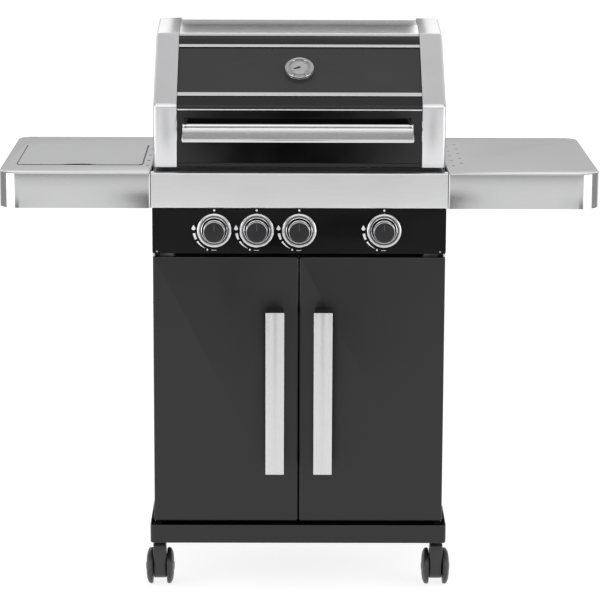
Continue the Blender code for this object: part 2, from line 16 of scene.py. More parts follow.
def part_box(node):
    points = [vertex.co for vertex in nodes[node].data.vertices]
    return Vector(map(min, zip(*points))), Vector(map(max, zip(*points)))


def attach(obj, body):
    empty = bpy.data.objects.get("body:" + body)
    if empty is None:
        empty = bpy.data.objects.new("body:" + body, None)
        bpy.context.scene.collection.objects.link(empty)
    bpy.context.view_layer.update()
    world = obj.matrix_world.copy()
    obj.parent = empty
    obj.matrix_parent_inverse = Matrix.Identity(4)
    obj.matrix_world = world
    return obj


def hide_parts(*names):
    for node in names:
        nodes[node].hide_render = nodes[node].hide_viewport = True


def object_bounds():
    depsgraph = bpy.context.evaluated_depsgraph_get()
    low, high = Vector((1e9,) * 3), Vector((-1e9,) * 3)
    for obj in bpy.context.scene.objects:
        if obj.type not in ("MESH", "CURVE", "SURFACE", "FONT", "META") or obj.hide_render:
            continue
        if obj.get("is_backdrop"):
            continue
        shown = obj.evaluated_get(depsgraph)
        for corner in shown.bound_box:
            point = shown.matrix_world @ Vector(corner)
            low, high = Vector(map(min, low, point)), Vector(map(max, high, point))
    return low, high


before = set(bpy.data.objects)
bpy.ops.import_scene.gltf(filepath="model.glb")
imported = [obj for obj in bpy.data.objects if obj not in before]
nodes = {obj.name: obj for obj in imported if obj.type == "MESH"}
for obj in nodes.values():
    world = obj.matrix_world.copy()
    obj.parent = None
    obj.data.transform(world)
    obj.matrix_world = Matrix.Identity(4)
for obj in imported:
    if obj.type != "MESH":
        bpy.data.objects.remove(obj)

cad_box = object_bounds()
scene = bpy.context.scene

# %% [markdown]
# ## Places
# Depths on a grill are easiest to think of as distances behind the front face of its shelves. The shelf's own
# box gives that face, and `at` turns such a depth into a Y coordinate.

# %% Depths measured from the shelves' front face
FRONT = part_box("side_shelf_right")[0].y
SHELF_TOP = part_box("side_shelf_right")[1].z
X_AXIS, Y_AXIS, Z_AXIS = Vector((1, 0, 0)), Vector((0, 1, 0)), Vector((0, 0, 1))
UP = (X_AXIS, Y_AXIS, Z_AXIS)            # local Z points up
FACING_FRONT = (X_AXIS, Z_AXIS, -Y_AXIS)   # local Z points to the front
FACING_BACK = (-X_AXIS, Z_AXIS, Y_AXIS)
FACING_RIGHT = (Y_AXIS, Z_AXIS, X_AXIS)
ORIGIN = Vector((0, 0, 0))


def at(behind):
    return FRONT + behind


print("front face of the shelves at Y", round(FRONT, 4), "shelf top at Z", round(SHELF_TOP, 4))

# %% [markdown]
# ## Tools for thin sheet shapes
# Nearly everything here is bent sheet metal or a turned part. Both are rows of points joined by faces:
# `skin` joins rings, `slab` carries an outline from one height to another, and `turned` spins a profile as on
# a lathe. Cubes and cylinders could be stretched instead, but rings keep every rounded corner exact.


# %% Rings joined into a mesh
SHARP_EDGE = 32   # degrees; a crease above this stays crisp


def skin(name, rings, loop=False, ends=True, around=True):
    """Faces between rings of equal length. loop joins last to first, ends closes the outer rings."""
    count = len(rings[0])
    points = [tuple(point) for ring in rings for point in ring]
    faces = []
    for span in range(len(rings) if loop else len(rings) - 1):
        low, high = span * count, (span + 1) % len(rings) * count
        for k in range(count if around else count - 1):
            n = (k + 1) % count
            faces.append((low + k, low + n, high + n, high + k))
    if ends and not loop:
        faces.append(tuple(reversed(range(count))))
        faces.append(tuple(range((len(rings) - 1) * count, len(rings) * count)))
    mesh = bpy.data.meshes.new(name)
    mesh.from_pydata(points, [], faces)
    return finished(mesh)


def shaded(mesh):
    mesh.shade_smooth()
    mesh.set_sharp_from_angle(angle=radians(SHARP_EDGE))
    return mesh


def finished(mesh):
    """Normals outwards, smooth shading, and sharp edges kept crisp."""
    shape = bmesh.new()
    shape.from_mesh(mesh)
    bmesh.ops.remove_doubles(shape, verts=shape.verts, dist=1e-7)
    bmesh.ops.recalc_face_normals(shape, faces=shape.faces)
    shape.to_mesh(mesh)
    shape.free()
    return shaded(mesh)


def placed(points, origin, basis):
    return [origin + basis[0] * x + basis[1] * y + basis[2] * z for x, y, z in points]


def slab(name, outline, low, high, origin=ORIGIN, basis=UP):
    return skin(name, [placed([(x, y, h) for x, y in outline], origin, basis) for h in (low, high)])


def turned(name, profile, origin, basis, segments=48, loop=False, wave=None):
    """A lathe shape about the third axis from (radius, height) pairs. wave(turn, k) scales point k."""
    rings = []
    for k, (radius, height) in enumerate(profile):
        ring = []
        for step in range(segments):
            turn = 2 * pi * step / segments
            r = radius * (wave(turn, k) if wave else 1)
            ring.append((r * cos(turn), r * sin(turn), height))
        rings.append(placed(ring, origin, basis))
    return skin(name, rings, loop)


def merged(name, meshes):
    shape = bmesh.new()
    for mesh in meshes:
        shape.from_mesh(mesh)
    whole = bpy.data.meshes.new(name)
    shape.to_mesh(whole)
    shape.free()
    return shaded(whole)


print("skin, slab, turned and merged are ready")


# %% [markdown]
# ## Outlines
# A sheet is drawn as a line that is then given a thickness, as a folding machine works from a flat blank.
# `rounded` replaces corners with arcs, because folded steel never has a sharp bend, and `beside` moves a line
# sideways by the sheet's thickness with mitred corners.


# %% Rounded lines and rectangles
def rectangle(x0, x1, y0, y1, radius=0.0, steps=6):
    """Anticlockwise from the low corner, with one corner radius or four in the same order."""
    radii = radius if isinstance(radius, tuple) else (radius,) * 4
    points = []
    corners = ((x0, y0, 1, 1), (x1, y0, -1, 1), (x1, y1, -1, -1), (x0, y1, 1, -1))
    for k, (x, y, sx, sy) in enumerate(corners):
        for step in range(steps + 1):
            turn = pi + k * pi / 2 + step * pi / 2 / steps
            points.append((x + radii[k] * (sx + cos(turn)), y + radii[k] * (sy + sin(turn))))
    return points


def beside(path, distance):
    """The path moved to the left of its direction, with mitred corners."""
    moved = []
    for k, (x, y) in enumerate(path):
        before, after = path[max(k - 1, 0)], path[min(k + 1, len(path) - 1)]
        first = Vector((x - before[0], y - before[1]))
        second = Vector((after[0] - x, after[1] - y))
        first = (first if first.length else second).normalized()
        second = (second if second.length else first).normalized()
        middle = (first + second).normalized()
        reach = distance / middle.dot(first)
        moved.append((x - middle.y * reach, y + middle.x * reach))
    return moved


def rounded(path, radii, steps=6):
    """An open path whose inner corners become arcs."""
    points = [tuple(path[0])]
    for k in range(1, len(path) - 1):
        corner = Vector(path[k])
        back = (Vector(path[k - 1]) - corner).normalized()
        ahead = (Vector(path[k + 1]) - corner).normalized()
        half = back.angle(ahead) / 2
        radius = radii[k - 1]
        centre = corner + (back + ahead).normalized() * radius / sin(half)
        leave = corner + back * radius * cos(half) / sin(half) - centre
        arrive = corner + ahead * radius * cos(half) / sin(half) - centre
        start, sweep = atan2(leave.y, leave.x), leave.angle_signed(arrive)
        for step in range(steps + 1):
            turn = start - sweep * step / steps
            points.append((centre.x + radius * cos(turn), centre.y + radius * sin(turn)))
    points.append(tuple(path[-1]))
    return points


def bent_sheet(path, thickness):
    return list(path) + list(reversed(beside(path, thickness)))


print("a 20 mm square with 4 mm corners has", len(rectangle(0, 0.02, 0, 0.02, 0.004)), "points")


# %% [markdown]
# ## Adding a piece
# Every piece says three things: its finish, the body it moves with, and which plain CAD node it stands for. A
# small Bevel modifier rounds the edges that the outline leaves sharp, since a real edge always catches a line
# of light.


# %% Add, carve and screw
def add(name, mesh, finish, body, stands_for=(), bevel=0.0, steps=3):
    item = bpy.data.objects.new(name, mesh)
    scene.collection.objects.link(item)
    mesh.materials.clear()
    mesh.materials.append(finish)
    if bevel:
        edge = item.modifiers.new("edge", "BEVEL")
        edge.width, edge.segments = bevel, steps
        edge.limit_method, edge.angle_limit = "ANGLE", radians(SHARP_EDGE)
        edge.harden_normals = True
    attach(item, body)
    if stands_for:
        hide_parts(*([stands_for] if isinstance(stands_for, str) else stands_for))
    return item


def carved(mesh, cutters):
    """The mesh with closed cutters taken away."""
    item = bpy.data.objects.new("carving", mesh)
    scene.collection.objects.link(item)
    tools = []
    for k, cutter in enumerate(cutters):
        tool = bpy.data.objects.new(f"cutter_{k}", cutter)
        scene.collection.objects.link(tool)
        tools.append(tool)
        cut = item.modifiers.new(f"cut_{k}", "BOOLEAN")
        cut.operation, cut.solver, cut.object = "DIFFERENCE", "EXACT", tool
    bpy.context.view_layer.update()
    evaluated = item.evaluated_get(bpy.context.evaluated_depsgraph_get())
    result = bpy.data.meshes.new_from_object(evaluated)
    for thing in [item, *tools]:
        bpy.data.objects.remove(thing)
    return shaded(result)


SCREW = ((0.0002, 0.0009), (0.0012, 0.0009), (0.0014, 0.0019), (0.0025, 0.0017), (0.0033, 0.0009),
         (0.0036, 0.0))


def screws(name, places, basis, finish, body, size=1.0):
    """Pan-head screws with a driver recess, as one piece."""
    profile = [(radius * size, height * size) for radius, height in SCREW]
    heads = [turned(name, profile, Vector(place), basis, 16) for place in places]
    return add(name, merged(name, heads), finish, body)


print("screw heads are", round(SCREW[-1][0] * 2000, 1), "mm across")


# %% [markdown]
# ## Finishes: a small set of node tools
# Each finish is a Principled shader whose roughness, colour and bump come from noise in the object's own
# coordinates, which are metres here. Noise squeezed along one axis gives the scratches of brushing.
# Numbers that don't vary are typed straight onto the shader.


# %% Node helpers
def new_finish(name, colour, roughness, metallic=0.0, **sockets):
    finish = bpy.data.materials.new(name)
    finish.use_nodes = True
    shader = finish.node_tree.nodes["Principled BSDF"]
    shader.inputs["Base Color"].default_value = (*colour, 1)
    shader.inputs["Roughness"].default_value = roughness
    shader.inputs["Metallic"].default_value = metallic
    for socket, value in sockets.items():
        shader.inputs[socket.replace("_", " ")].default_value = value
    finish.diffuse_color = (*colour, 1)
    return finish


def noise(finish, scale, detail=4.0, stretch=(1, 1, 1), roughness=0.55):
    """Noise in metres, stretched by dividing its scale along an axis."""
    tree = finish.node_tree
    place = tree.nodes.new("ShaderNodeTexCoord")
    mapping = tree.nodes.new("ShaderNodeMapping")
    mapping.inputs["Scale"].default_value = stretch
    texture = tree.nodes.new("ShaderNodeTexNoise")
    texture.inputs["Scale"].default_value = scale
    texture.inputs["Detail"].default_value = detail
    texture.inputs["Roughness"].default_value = roughness
    tree.links.new(place.outputs["Object"], mapping.inputs["Vector"])
    tree.links.new(mapping.outputs["Vector"], texture.inputs["Vector"])
    return texture.outputs["Fac"]


def spread(finish, value, low, high):
    """The noise value, whose middle half is used, mapped to a range."""
    tree = finish.node_tree
    node = tree.nodes.new("ShaderNodeMapRange")
    node.inputs["From Min"].default_value, node.inputs["From Max"].default_value = 0.3, 0.7
    node.inputs["To Min"].default_value, node.inputs["To Max"].default_value = low, high
    tree.links.new(value, node.inputs["Value"])
    return node.outputs["Result"]


def vary_roughness(finish, value, low, high):
    shader = finish.node_tree.nodes["Principled BSDF"]
    finish.node_tree.links.new(spread(finish, value, low, high), shader.inputs["Roughness"])


def vary_colour(finish, value, dark, light):
    tree = finish.node_tree
    ramp = tree.nodes.new("ShaderNodeValToRGB")
    ramp.color_ramp.elements[0].position, ramp.color_ramp.elements[1].position = 0.3, 0.7
    ramp.color_ramp.elements[0].color, ramp.color_ramp.elements[1].color = (*dark, 1), (*light, 1)
    tree.links.new(value, ramp.inputs["Fac"])
    tree.links.new(ramp.outputs["Color"], tree.nodes["Principled BSDF"].inputs["Base Color"])


def add_bump(finish, value, height, strength=1.0):
    """Relief of the given height in metres. A second call is stacked on the first."""
    tree = finish.node_tree
    normal = tree.nodes["Principled BSDF"].inputs["Normal"]
    bump = tree.nodes.new("ShaderNodeBump")
    bump.inputs["Distance"].default_value = height
    bump.inputs["Strength"].default_value = strength
    tree.links.new(value, bump.inputs["Height"])
    if normal.is_linked:
        tree.links.new(normal.links[0].from_socket, bump.inputs["Normal"])
    tree.links.new(bump.outputs["Normal"], normal)


print("node helpers are ready")


# %% [markdown]
# ## Brushed stainless steel
# The shelves, fascia and hood caps are sheet steel polished by a belt that runs one way. Its grooves are much
# longer than wide, so the noise is squeezed to a few cycles a metre along the belt and thousands across it.
# A second, broad noise stands for the handling and heat that change the sheen from place to place.


# %% Steel finishes
def brushed(name, colour, roughness, belt="x", swing=0.07, relief=1.5e-6):
    finish = new_finish(name, colour, roughness, 1.0)
    along = {"x": (0.012, 1, 1), "z": (1, 1, 0.012), "y": (1, 0.012, 1)}[belt]
    grooves = noise(finish, 1500, 5, along, 0.65)
    clouds = noise(finish, 11, 3, (1, 1, 1.6))
    tree = finish.node_tree
    both = tree.nodes.new("ShaderNodeMix")
    both.inputs[0].default_value = 0.22
    tree.links.new(grooves, both.inputs[2])
    tree.links.new(clouds, both.inputs[3])
    vary_roughness(finish, both.outputs[0], roughness - swing, roughness + swing)
    vary_colour(finish, both.outputs[0], [c * 0.93 for c in colour], [min(1, c * 1.05) for c in colour])
    add_bump(finish, grooves, relief)
    return finish


# The first seven are one stainless steel. Their base colours, 0.53 to 0.80, are set piece by piece to how
# bright each looks under this stage's light, so those differences are painted light and shade.
steel_shelf = brushed("steel_shelf", (0.53, 0.53, 0.535), 0.13, swing=0.02)
steel_fascia = brushed("steel_fascia", (0.69, 0.69, 0.695), 0.34, swing=0.03)
steel_hood = brushed("steel_hood", (0.70, 0.70, 0.71), 0.29, "y", 0.03)
steel_band = brushed("steel_band", (0.64, 0.64, 0.645), 0.17, swing=0.03)
steel_trim = brushed("steel_trim", (0.80, 0.80, 0.80), 0.18, swing=0.03)
steel_upright = brushed("steel_upright", (0.62, 0.62, 0.62), 0.26, "z", 0.03)
steel_grip = brushed("steel_grip", (0.64, 0.64, 0.64), 0.17, swing=0.03)
steel_plain = brushed("steel_plain", (0.46, 0.45, 0.43), 0.42, "y", 0.10)
print("brushed steels: shelf, fascia, hood, band, trim, upright, grip, plain")

# %% [markdown]
# ## Paint and enamel
# Three blacks lie side by side on this grill. The cabinet has powder coat, which cures with a fine bumpy
# skin. The hood has enamel, fired until it flows into a gloss that still ripples like orange peel. The panel
# behind the thermometer is a softer black. Roughness and bump tell them apart, hardly colour.


# %% Paint finishes
def powder_coat(name, colour, roughness, grain=1400, shine=0.42):
    finish = new_finish(name, colour, roughness, Specular_IOR_Level=shine)
    fine = noise(finish, grain, 3)
    broad = noise(finish, 9, 3)
    vary_roughness(finish, broad, roughness - 0.05, roughness + 0.05)
    vary_colour(finish, broad, [c * 0.92 for c in colour], [c * 1.08 for c in colour])
    add_bump(finish, fine, 6e-6)
    return finish


def enamel(name, colour, roughness, peel=220):
    finish = new_finish(name, colour, roughness, Specular_IOR_Level=0.38, Coat_Weight=0.06,
                        Coat_Roughness=0.05)
    ripple = noise(finish, peel, 2)
    broad = noise(finish, 7, 3)
    vary_roughness(finish, broad, roughness - 0.03, roughness + 0.05)
    vary_colour(finish, broad, [c * 0.85 for c in colour], [c * 1.15 for c in colour])
    add_bump(finish, ripple, 6e-6)
    return finish


cabinet_paint = powder_coat("cabinet_paint", (0.007, 0.007, 0.0073), 0.32)
panel_paint = powder_coat("panel_paint", (0.003, 0.003, 0.0032), 0.20, 2200, 0.12)
front_enamel = powder_coat("front_enamel", (0.024, 0.024, 0.025), 0.30, 1800)
hood_enamel = enamel("hood_enamel", (0.005, 0.005, 0.0053), 0.16)
gloss_enamel = enamel("gloss_enamel", (0.003, 0.003, 0.0032), 0.08)
box_enamel = enamel("box_enamel", (0.012, 0.012, 0.013), 0.34, 500)
print("paints: cabinet, panel, front, hood, gloss, fire box")

# %% [markdown]
# ## Chrome, plastic, iron and brass
# Chrome plate is nearly a mirror, with the faintest cloudiness. Moulded plastic has a satin skin with a fine
# spark-eroded grain. Cast iron is coarse and matt. Brass gas fittings show turning marks and some tarnish.


# %% Other finishes
def grained(name, colour, roughness, metallic, scale, relief, swing=0.06, stretch=(1, 1, 1)):
    finish = new_finish(name, colour, roughness, metallic)
    grain = noise(finish, scale, 4, stretch)
    broad = noise(finish, 12, 3)
    vary_roughness(finish, broad, max(0.02, roughness - swing), roughness + swing)
    vary_colour(finish, broad, [c * 0.88 for c in colour], [min(1, c * 1.10) for c in colour])
    add_bump(finish, grain, relief)
    return finish


chrome = grained("chrome", (0.64, 0.64, 0.65), 0.12, 1.0, 300, 1e-6, 0.03)
# A darker copy of the chrome, for the thermometer's bezel. Its darkness is painted shade, not age.
painted_shade_chrome = grained("painted_shade_chrome", (0.46, 0.46, 0.47), 0.10, 1.0, 300, 1e-6, 0.03)
pointer_grey = grained("pointer_grey", (0.060, 0.060, 0.060), 0.40, 0.0, 900, 2e-6)
knob_plastic = grained("knob_plastic", (0.012, 0.012, 0.0125), 0.34, 0.0, 2600, 5e-6)
knob_plastic.node_tree.nodes["Principled BSDF"].inputs["Specular IOR Level"].default_value = 0.30
caster_plastic = grained("caster_plastic", (0.017, 0.017, 0.018), 0.36, 0.0, 2200, 6e-6)
wheel_plastic = grained("wheel_plastic", (0.022, 0.022, 0.023), 0.40, 0.0, 1800, 8e-6)
cast_iron = grained("cast_iron", (0.022, 0.022, 0.022), 0.58, 0.15, 900, 6e-5, 0.10)
brass = grained("brass", (0.60, 0.44, 0.21), 0.32, 1.0, 900, 4e-6, 0.10)
needle_paint = grained("needle_paint", (0.020, 0.020, 0.020), 0.40, 0.0, 900, 2e-6)
print_white = grained("print_white", (0.72, 0.72, 0.72), 0.50, 0.0, 1500, 2e-6)
dial_silver = new_finish("dial_silver", (0.46, 0.46, 0.46), 0.30, 0.55, Coat_Weight=1.0, Coat_Roughness=0.03)
add_bump(dial_silver, noise(dial_silver, 1800, 3, (1, 0.05, 1)), 3e-6)
print("chrome, plastics, iron, brass, print and dial")

# %% [markdown]
# ## Floor, lights and camera
# The grill stands on a plain pale floor under a soft studio sky, brightest in a belt well above the horizon
# and dimmer in front, which gives rolled steel its bands of light and dark. Two upright light cards at the
# sides draw the white stripes on the shelves' corners. Cloths that only mirrors see do the rest: two black
# ones on the floor in front keep the enamel black. Grey ones at the sides, on the floor in front to the left
# and right, and behind the hood put the darker stripes into the steel.

# %% Floor and cloths
floor_finish = new_finish("floor", (0.30, 0.30, 0.30), 0.9)
vary_colour(floor_finish, noise(floor_finish, 3, 3), (0.295, 0.295, 0.295), (0.305, 0.305, 0.305))
floor_shader = floor_finish.node_tree.nodes["Principled BSDF"]
floor_shader.inputs["Emission Color"].default_value = (1, 1, 1, 1)
floor_shader.inputs["Emission Strength"].default_value = 0.82


def flat_sheet(name, corners, finish):
    """One flat face through four corners, which belongs to the stage and not to the grill."""
    mesh = bpy.data.meshes.new(name)
    mesh.from_pydata(corners, [], [(0, 1, 2, 3)])
    mesh.materials.append(finish)
    item = bpy.data.objects.new(name, mesh)
    scene.collection.objects.link(item)
    item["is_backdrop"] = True
    return item


def ground_sheet(name, x0, x1, y0, y1, z, finish):
    return flat_sheet(name, [(x0, y0, z), (x1, y0, z), (x1, y1, z), (x0, y1, z)], finish)


FLOOR_HALF = 45
ground_sheet("floor", -FLOOR_HALF, FLOOR_HALF, -FLOOR_HALF, FLOOR_HALF, 0, floor_finish)
cloth_finish = new_finish("black_cloth", (0.001, 0.001, 0.001), 0.95, Specular_IOR_Level=0.0)
vary_roughness(cloth_finish, noise(cloth_finish, 40), 0.9, 1.0)
# The far cloth is mirrored by the hood's gloss plate, the near one by the panel and the doors' tops.
CLOTH_FAR, CLOTH_NEAR = (-0.44, 0.50, -9.0, -6.3), (-0.30, 0.34, -6.3, -2.9)   # low X, high X, low Y, high Y
cloth_far = ground_sheet("cloth_far", *CLOTH_FAR, 0.004, cloth_finish)
cloth_near = ground_sheet("cloth_near", *CLOTH_NEAR, 0.004, cloth_finish)


def cloth_of(name, glow):
    """A cloth that returns an even grey of the given brightness to whatever mirrors it."""
    finish = new_finish(name, (0.02, 0.02, 0.02), 0.95, Specular_IOR_Level=0.0)
    shader = finish.node_tree.nodes["Principled BSDF"]
    shader.inputs["Emission Color"].default_value = (1, 1, 1, 1)
    shader.inputs["Emission Strength"].default_value = glow
    vary_roughness(finish, noise(finish, 40), 0.9, 1.0)
    return finish


side_finish = cloth_of("side_cloth", 0.42)
flag_finish = cloth_of("flag_cloth", 0.19)
soft_finish = cloth_of("soft_cloth", 0.25)
SIDES = ((-1, "left"), (1, "right"))
SIDE_CLOTH_X = 3.3
cloths = [cloth_far, cloth_near]
for side, word in SIDES:
    corners = [(side * SIDE_CLOTH_X, y, z) for y, z in ((-2.4, 0.01), (2.6, 0.01), (2.6, 3.0), (-2.4, 3.0))]
    cloths.append(flat_sheet(f"cloth_{word}", corners, side_finish))
FLAG_BEHIND, FLAG_HALF, FLAG_LOW, FLAG_HIGH = 0.62, 0.274, 1.290, 1.485
corners = [(-FLAG_HALF, FLAG_BEHIND, FLAG_LOW), (FLAG_HALF, FLAG_BEHIND, FLAG_LOW),
           (FLAG_HALF, FLAG_BEHIND, FLAG_HIGH), (-FLAG_HALF, FLAG_BEHIND, FLAG_HIGH)]
cloths.append(flat_sheet("cloth_behind", corners, flag_finish))
SOFT_INNER, SOFT_OUTER = 1.50, 3.2
for side, word in SIDES:
    x0, x1 = sorted((side * SOFT_INNER, side * SOFT_OUTER))
    cloths.append(ground_sheet(f"cloth_floor_{word}", x0, x1, -6.0, -2.6, 0.006, soft_finish))
for cloth in cloths:
    cloth.visible_camera = cloth.visible_diffuse = cloth.visible_shadow = cloth.visible_transmission = False
print("floor and", len(cloths), "cloths, the near one", round(FRONT - CLOTH_NEAR[3], 2), "m in front")

# %% Sky and lights
world = bpy.data.worlds.new("studio")
world.use_nodes = True
scene.world = world
sky = world.node_tree
direction = sky.nodes.new("ShaderNodeTexCoord")
parts = sky.nodes.new("ShaderNodeSeparateXYZ")
levels = sky.nodes.new("ShaderNodeValToRGB")
sky.links.new(direction.outputs["Generated"], parts.inputs["Vector"])
sky.links.new(parts.outputs["Z"], levels.inputs["Fac"])
front_part = sky.nodes.new("ShaderNodeMapRange")
for socket, value in (("From Min", -0.5), ("From Max", 0.0), ("To Min", 0.65), ("To Max", 1.0)):
    front_part.inputs[socket].default_value = value
dimmed = sky.nodes.new("ShaderNodeVectorMath")
dimmed.operation = "SCALE"
sky.links.new(parts.outputs["Y"], front_part.inputs["Value"])
sky.links.new(levels.outputs["Color"], dimmed.inputs[0])
sky.links.new(front_part.outputs["Result"], dimmed.inputs["Scale"])
sky.links.new(dimmed.outputs["Vector"], sky.nodes["Background"].inputs["Color"])
SKY_SCALE = 1.7
SKY = ((0.0, 0.60), (0.10, 0.55), (0.22, 0.74), (0.30, 1.62), (0.45, 1.62), (0.60, 0.74), (0.86, 0.78),
       (0.99, 0.70))   # height of the direction, brightness
levels.color_ramp.elements.remove(levels.color_ramp.elements[1])
for k, (height, strength) in enumerate(SKY):
    stop = levels.color_ramp.elements[0] if k == 0 else levels.color_ramp.elements.new(height)
    stop.position, stop.color = height, (*(3 * [strength / SKY_SCALE]), 1)
sky.nodes["Background"].inputs["Strength"].default_value = SKY_SCALE


def lamp(name, kind, place, aim, **settings):
    light = bpy.data.lights.new(name, kind)
    for key, value in settings.items():
        setattr(light, key, value)
    item = bpy.data.objects.new(name, light)
    item.location = place
    item.rotation_euler = (Vector(aim) - Vector(place)).to_track_quat("-Z", "Y").to_euler()
    item.visible_camera = False
    scene.collection.objects.link(item)
    return item


lamp("front_light", "SUN", (0, -4, 3.9), (0, 0, 0.4), energy=0.55, angle=radians(60))
CARD_X, CARD_Y, CARD_Z = 2.41, -1.43, 0.9
CARD_AIM_X, CARD_AIM_Y = 0.60, -0.20
CARD_WIDTH, CARD_HEIGHT, CARD_WATTS = 1.96, 1.6, 20
for side, word in SIDES:
    lamp(f"card_{word}", "AREA", (side * CARD_X, CARD_Y, CARD_Z), (side * CARD_AIM_X, CARD_AIM_Y, CARD_Z),
         shape="RECTANGLE", size=CARD_WIDTH, size_y=CARD_HEIGHT, energy=CARD_WATTS)
print("sky of", len(SKY), "levels, one broad front light, two side cards")

# %% Camera
LENS, SENSOR = 165.2, 36.0   # millimetres
CAMERA_PLACE = (-0.0393, -5.8315, 1.8225)
camera_data = bpy.data.cameras.new("camera")
camera_data.lens, camera_data.sensor_width = LENS, SENSOR
camera_data.clip_end = 200
camera = bpy.data.objects.new("camera", camera_data)
scene.collection.objects.link(camera)
PITCH, YAW, ROLL = radians(11.923), radians(0.423), radians(0.214)
ahead = Vector((sin(YAW) * cos(PITCH), cos(YAW) * cos(PITCH), -sin(PITCH)))
level_right = ahead.cross(Z_AXIS).normalized()
level_up = level_right.cross(ahead)
right = level_right * cos(ROLL) + level_up * sin(ROLL)
above = level_up * cos(ROLL) - level_right * sin(ROLL)
turn = Matrix((right, above, -ahead)).transposed().to_4x4()
camera.matrix_world = Matrix.Translation(CAMERA_PLACE) @ turn
scene.camera = camera
scene.view_settings.view_transform = "Standard"
print("camera", [round(v, 3) for v in camera.location], "lens", camera_data.lens, "mm")

# %% [markdown]
# ## The hood's outline
# Seen from the side the hood is one line: up the front, back along the slope, over the crown and down
# behind. The end caps are folded, with a small radius at each corner. The sheet between them is rolled, so it
# has wider folds and one more point, the crest. Every hood piece is such a line at its own depth below the
# caps' surface, so all of them share one function.

# %% Hood lines
HOOD_WIDTH, CAP_WIDTH = 0.603, 0.048
HOOD_BOTTOM, HOOD_REAR_END = 0.915, 0.947
BEND, BROW, CROWN, SHOULDER = (0.020, 1.045), (0.194, 1.173), (0.359, 1.189), (0.438, 1.150)
SHEET_CREST = (0.276, 1.1850)   # the rolled sheet rises here, so that its top is one smooth curve
TAIL_BEHIND = 0.478
FOLDS = (0.014, 0.022, 0.024, 0.034)                # of the end caps
SHEET_FOLDS = (0.014, 0.070, 0.300, 0.045, 0.034)   # of the rolled sheet between them
ARC_STEPS = 8
SHELL_INSET, SHEET, GAP = 0.005, 0.0015, 0.0003
SHELL_HALF = HOOD_WIDTH / 2 - CAP_WIDTH - GAP


def hood_line(inset, low, rear_end, folds=FOLDS):
    crest = [SHEET_CREST] if folds is SHEET_FOLDS else []
    corners = [(BEND[0], low), BEND, BROW, *crest, CROWN, SHOULDER, (TAIL_BEHIND, HOOD_REAR_END)]
    moved = beside(corners, -inset)
    moved[0], moved[-1] = (moved[0][0], low), (moved[-1][0], rear_end)
    return [(at(y), z) for y, z in rounded(moved, [fold - inset for fold in folds], ARC_STEPS)]


def on_slope(along, above_caps):
    """A point along the slope, 0 at the brow and 1 at the bend, and its height above the caps' surface."""
    run = Vector(BEND) - Vector(BROW)
    normal = Vector((run.y, -run.x)).normalized()
    point = Vector(BROW) + run * along + normal * above_caps
    return (at(point.x), point.y)


def across(outline, x):
    return [(x, y, z) for y, z in outline]


SLOPE_OUT = Vector((0, BEND[1] - BROW[1], BROW[0] - BEND[0])).normalized()
ON_SLOPE = (X_AXIS, SLOPE_OUT.cross(X_AXIS), SLOPE_OUT)
print("slope", round(hypot(BEND[0] - BROW[0], BEND[1] - BROW[1]) * 1000), "mm long, facing", SLOPE_OUT)

# %% [markdown]
# ## End caps of the hood
# Each end of the hood is a deep-drawn steel cap that wraps the whole outline and turns over into a flat side
# with a rolled edge. It is made as the outline repeated from the inner edge to the side, shrinking along a
# quarter circle at the rolled edge, and then given its sheet thickness by a Solidify modifier.

# %% Caps
CAP_ROLL, CAP_SHEET = 0.006, 0.0018


def cap_mesh(side):
    inner, outer = side * (HOOD_WIDTH / 2 - CAP_WIDTH), side * HOOD_WIDTH / 2
    sections = [(inner, 0.0), (outer - side * CAP_ROLL, 0.0)]
    for step in range(1, 7):
        turn = step * pi / 12
        sections.append((outer - side * CAP_ROLL * (1 - sin(turn)), CAP_ROLL * (1 - cos(turn))))
    rings = []
    for x, inset in sections:
        line = hood_line(inset, HOOD_BOTTOM, HOOD_BOTTOM)
        last, end = Vector(line[-2]), Vector(line[-1])
        share = (last.y - HOOD_REAR_END) / (last.y - end.y)
        rings.append(across(line[:-1] + [tuple(last.lerp(end, share))], x))
    count = len(rings[0])
    mesh = bpy.data.meshes.new("hood_cap")
    points = [point for ring in rings for point in ring] + [(outer, at(TAIL_BEHIND) - CAP_ROLL, HOOD_BOTTOM)]
    faces = []
    for span in range(len(rings) - 1):
        for k in range(count - 1):
            a = span * count + k
            faces.append((a, a + 1, a + count + 1, a + count))
    faces.append((*range((len(rings) - 1) * count, len(rings) * count), len(points) - 1))
    mesh.from_pydata(points, [], faces)
    finished(mesh)
    lid = mesh.polygons[len(faces) - 1]
    if lid.normal.x * side < 0:
        mesh.flip_normals()
    return mesh


for side, word in SIDES:
    cap = add(f"hood_end_{word}", cap_mesh(side), steel_hood, "hood", f"hood_cap_{word}")
    wall = cap.modifiers.new("wall", "SOLIDIFY")
    wall.thickness, wall.offset = CAP_SHEET, -1
    edge = cap.modifiers.new("edge", "BEVEL")
    edge.width, edge.segments, edge.limit_method, edge.angle_limit = 0.0006, 2, "ANGLE", radians(50)
print("two caps", round(CAP_WIDTH * 1000), "mm wide with a", CAP_ROLL * 1000, "mm rolled edge")

# %% [markdown]
# ## Shell, panels and steel strips of the hood
# Between the caps lies one black enamelled sheet. Over it go a rolled steel band from the back over the crown
# to the brow, a plate that carries the thermometer, two steel strips, and a high-gloss front plate whose top
# edge is a bright bead. The thin raised plates are real geometry, because their edges throw the fine shadow
# lines that make the hood look assembled.

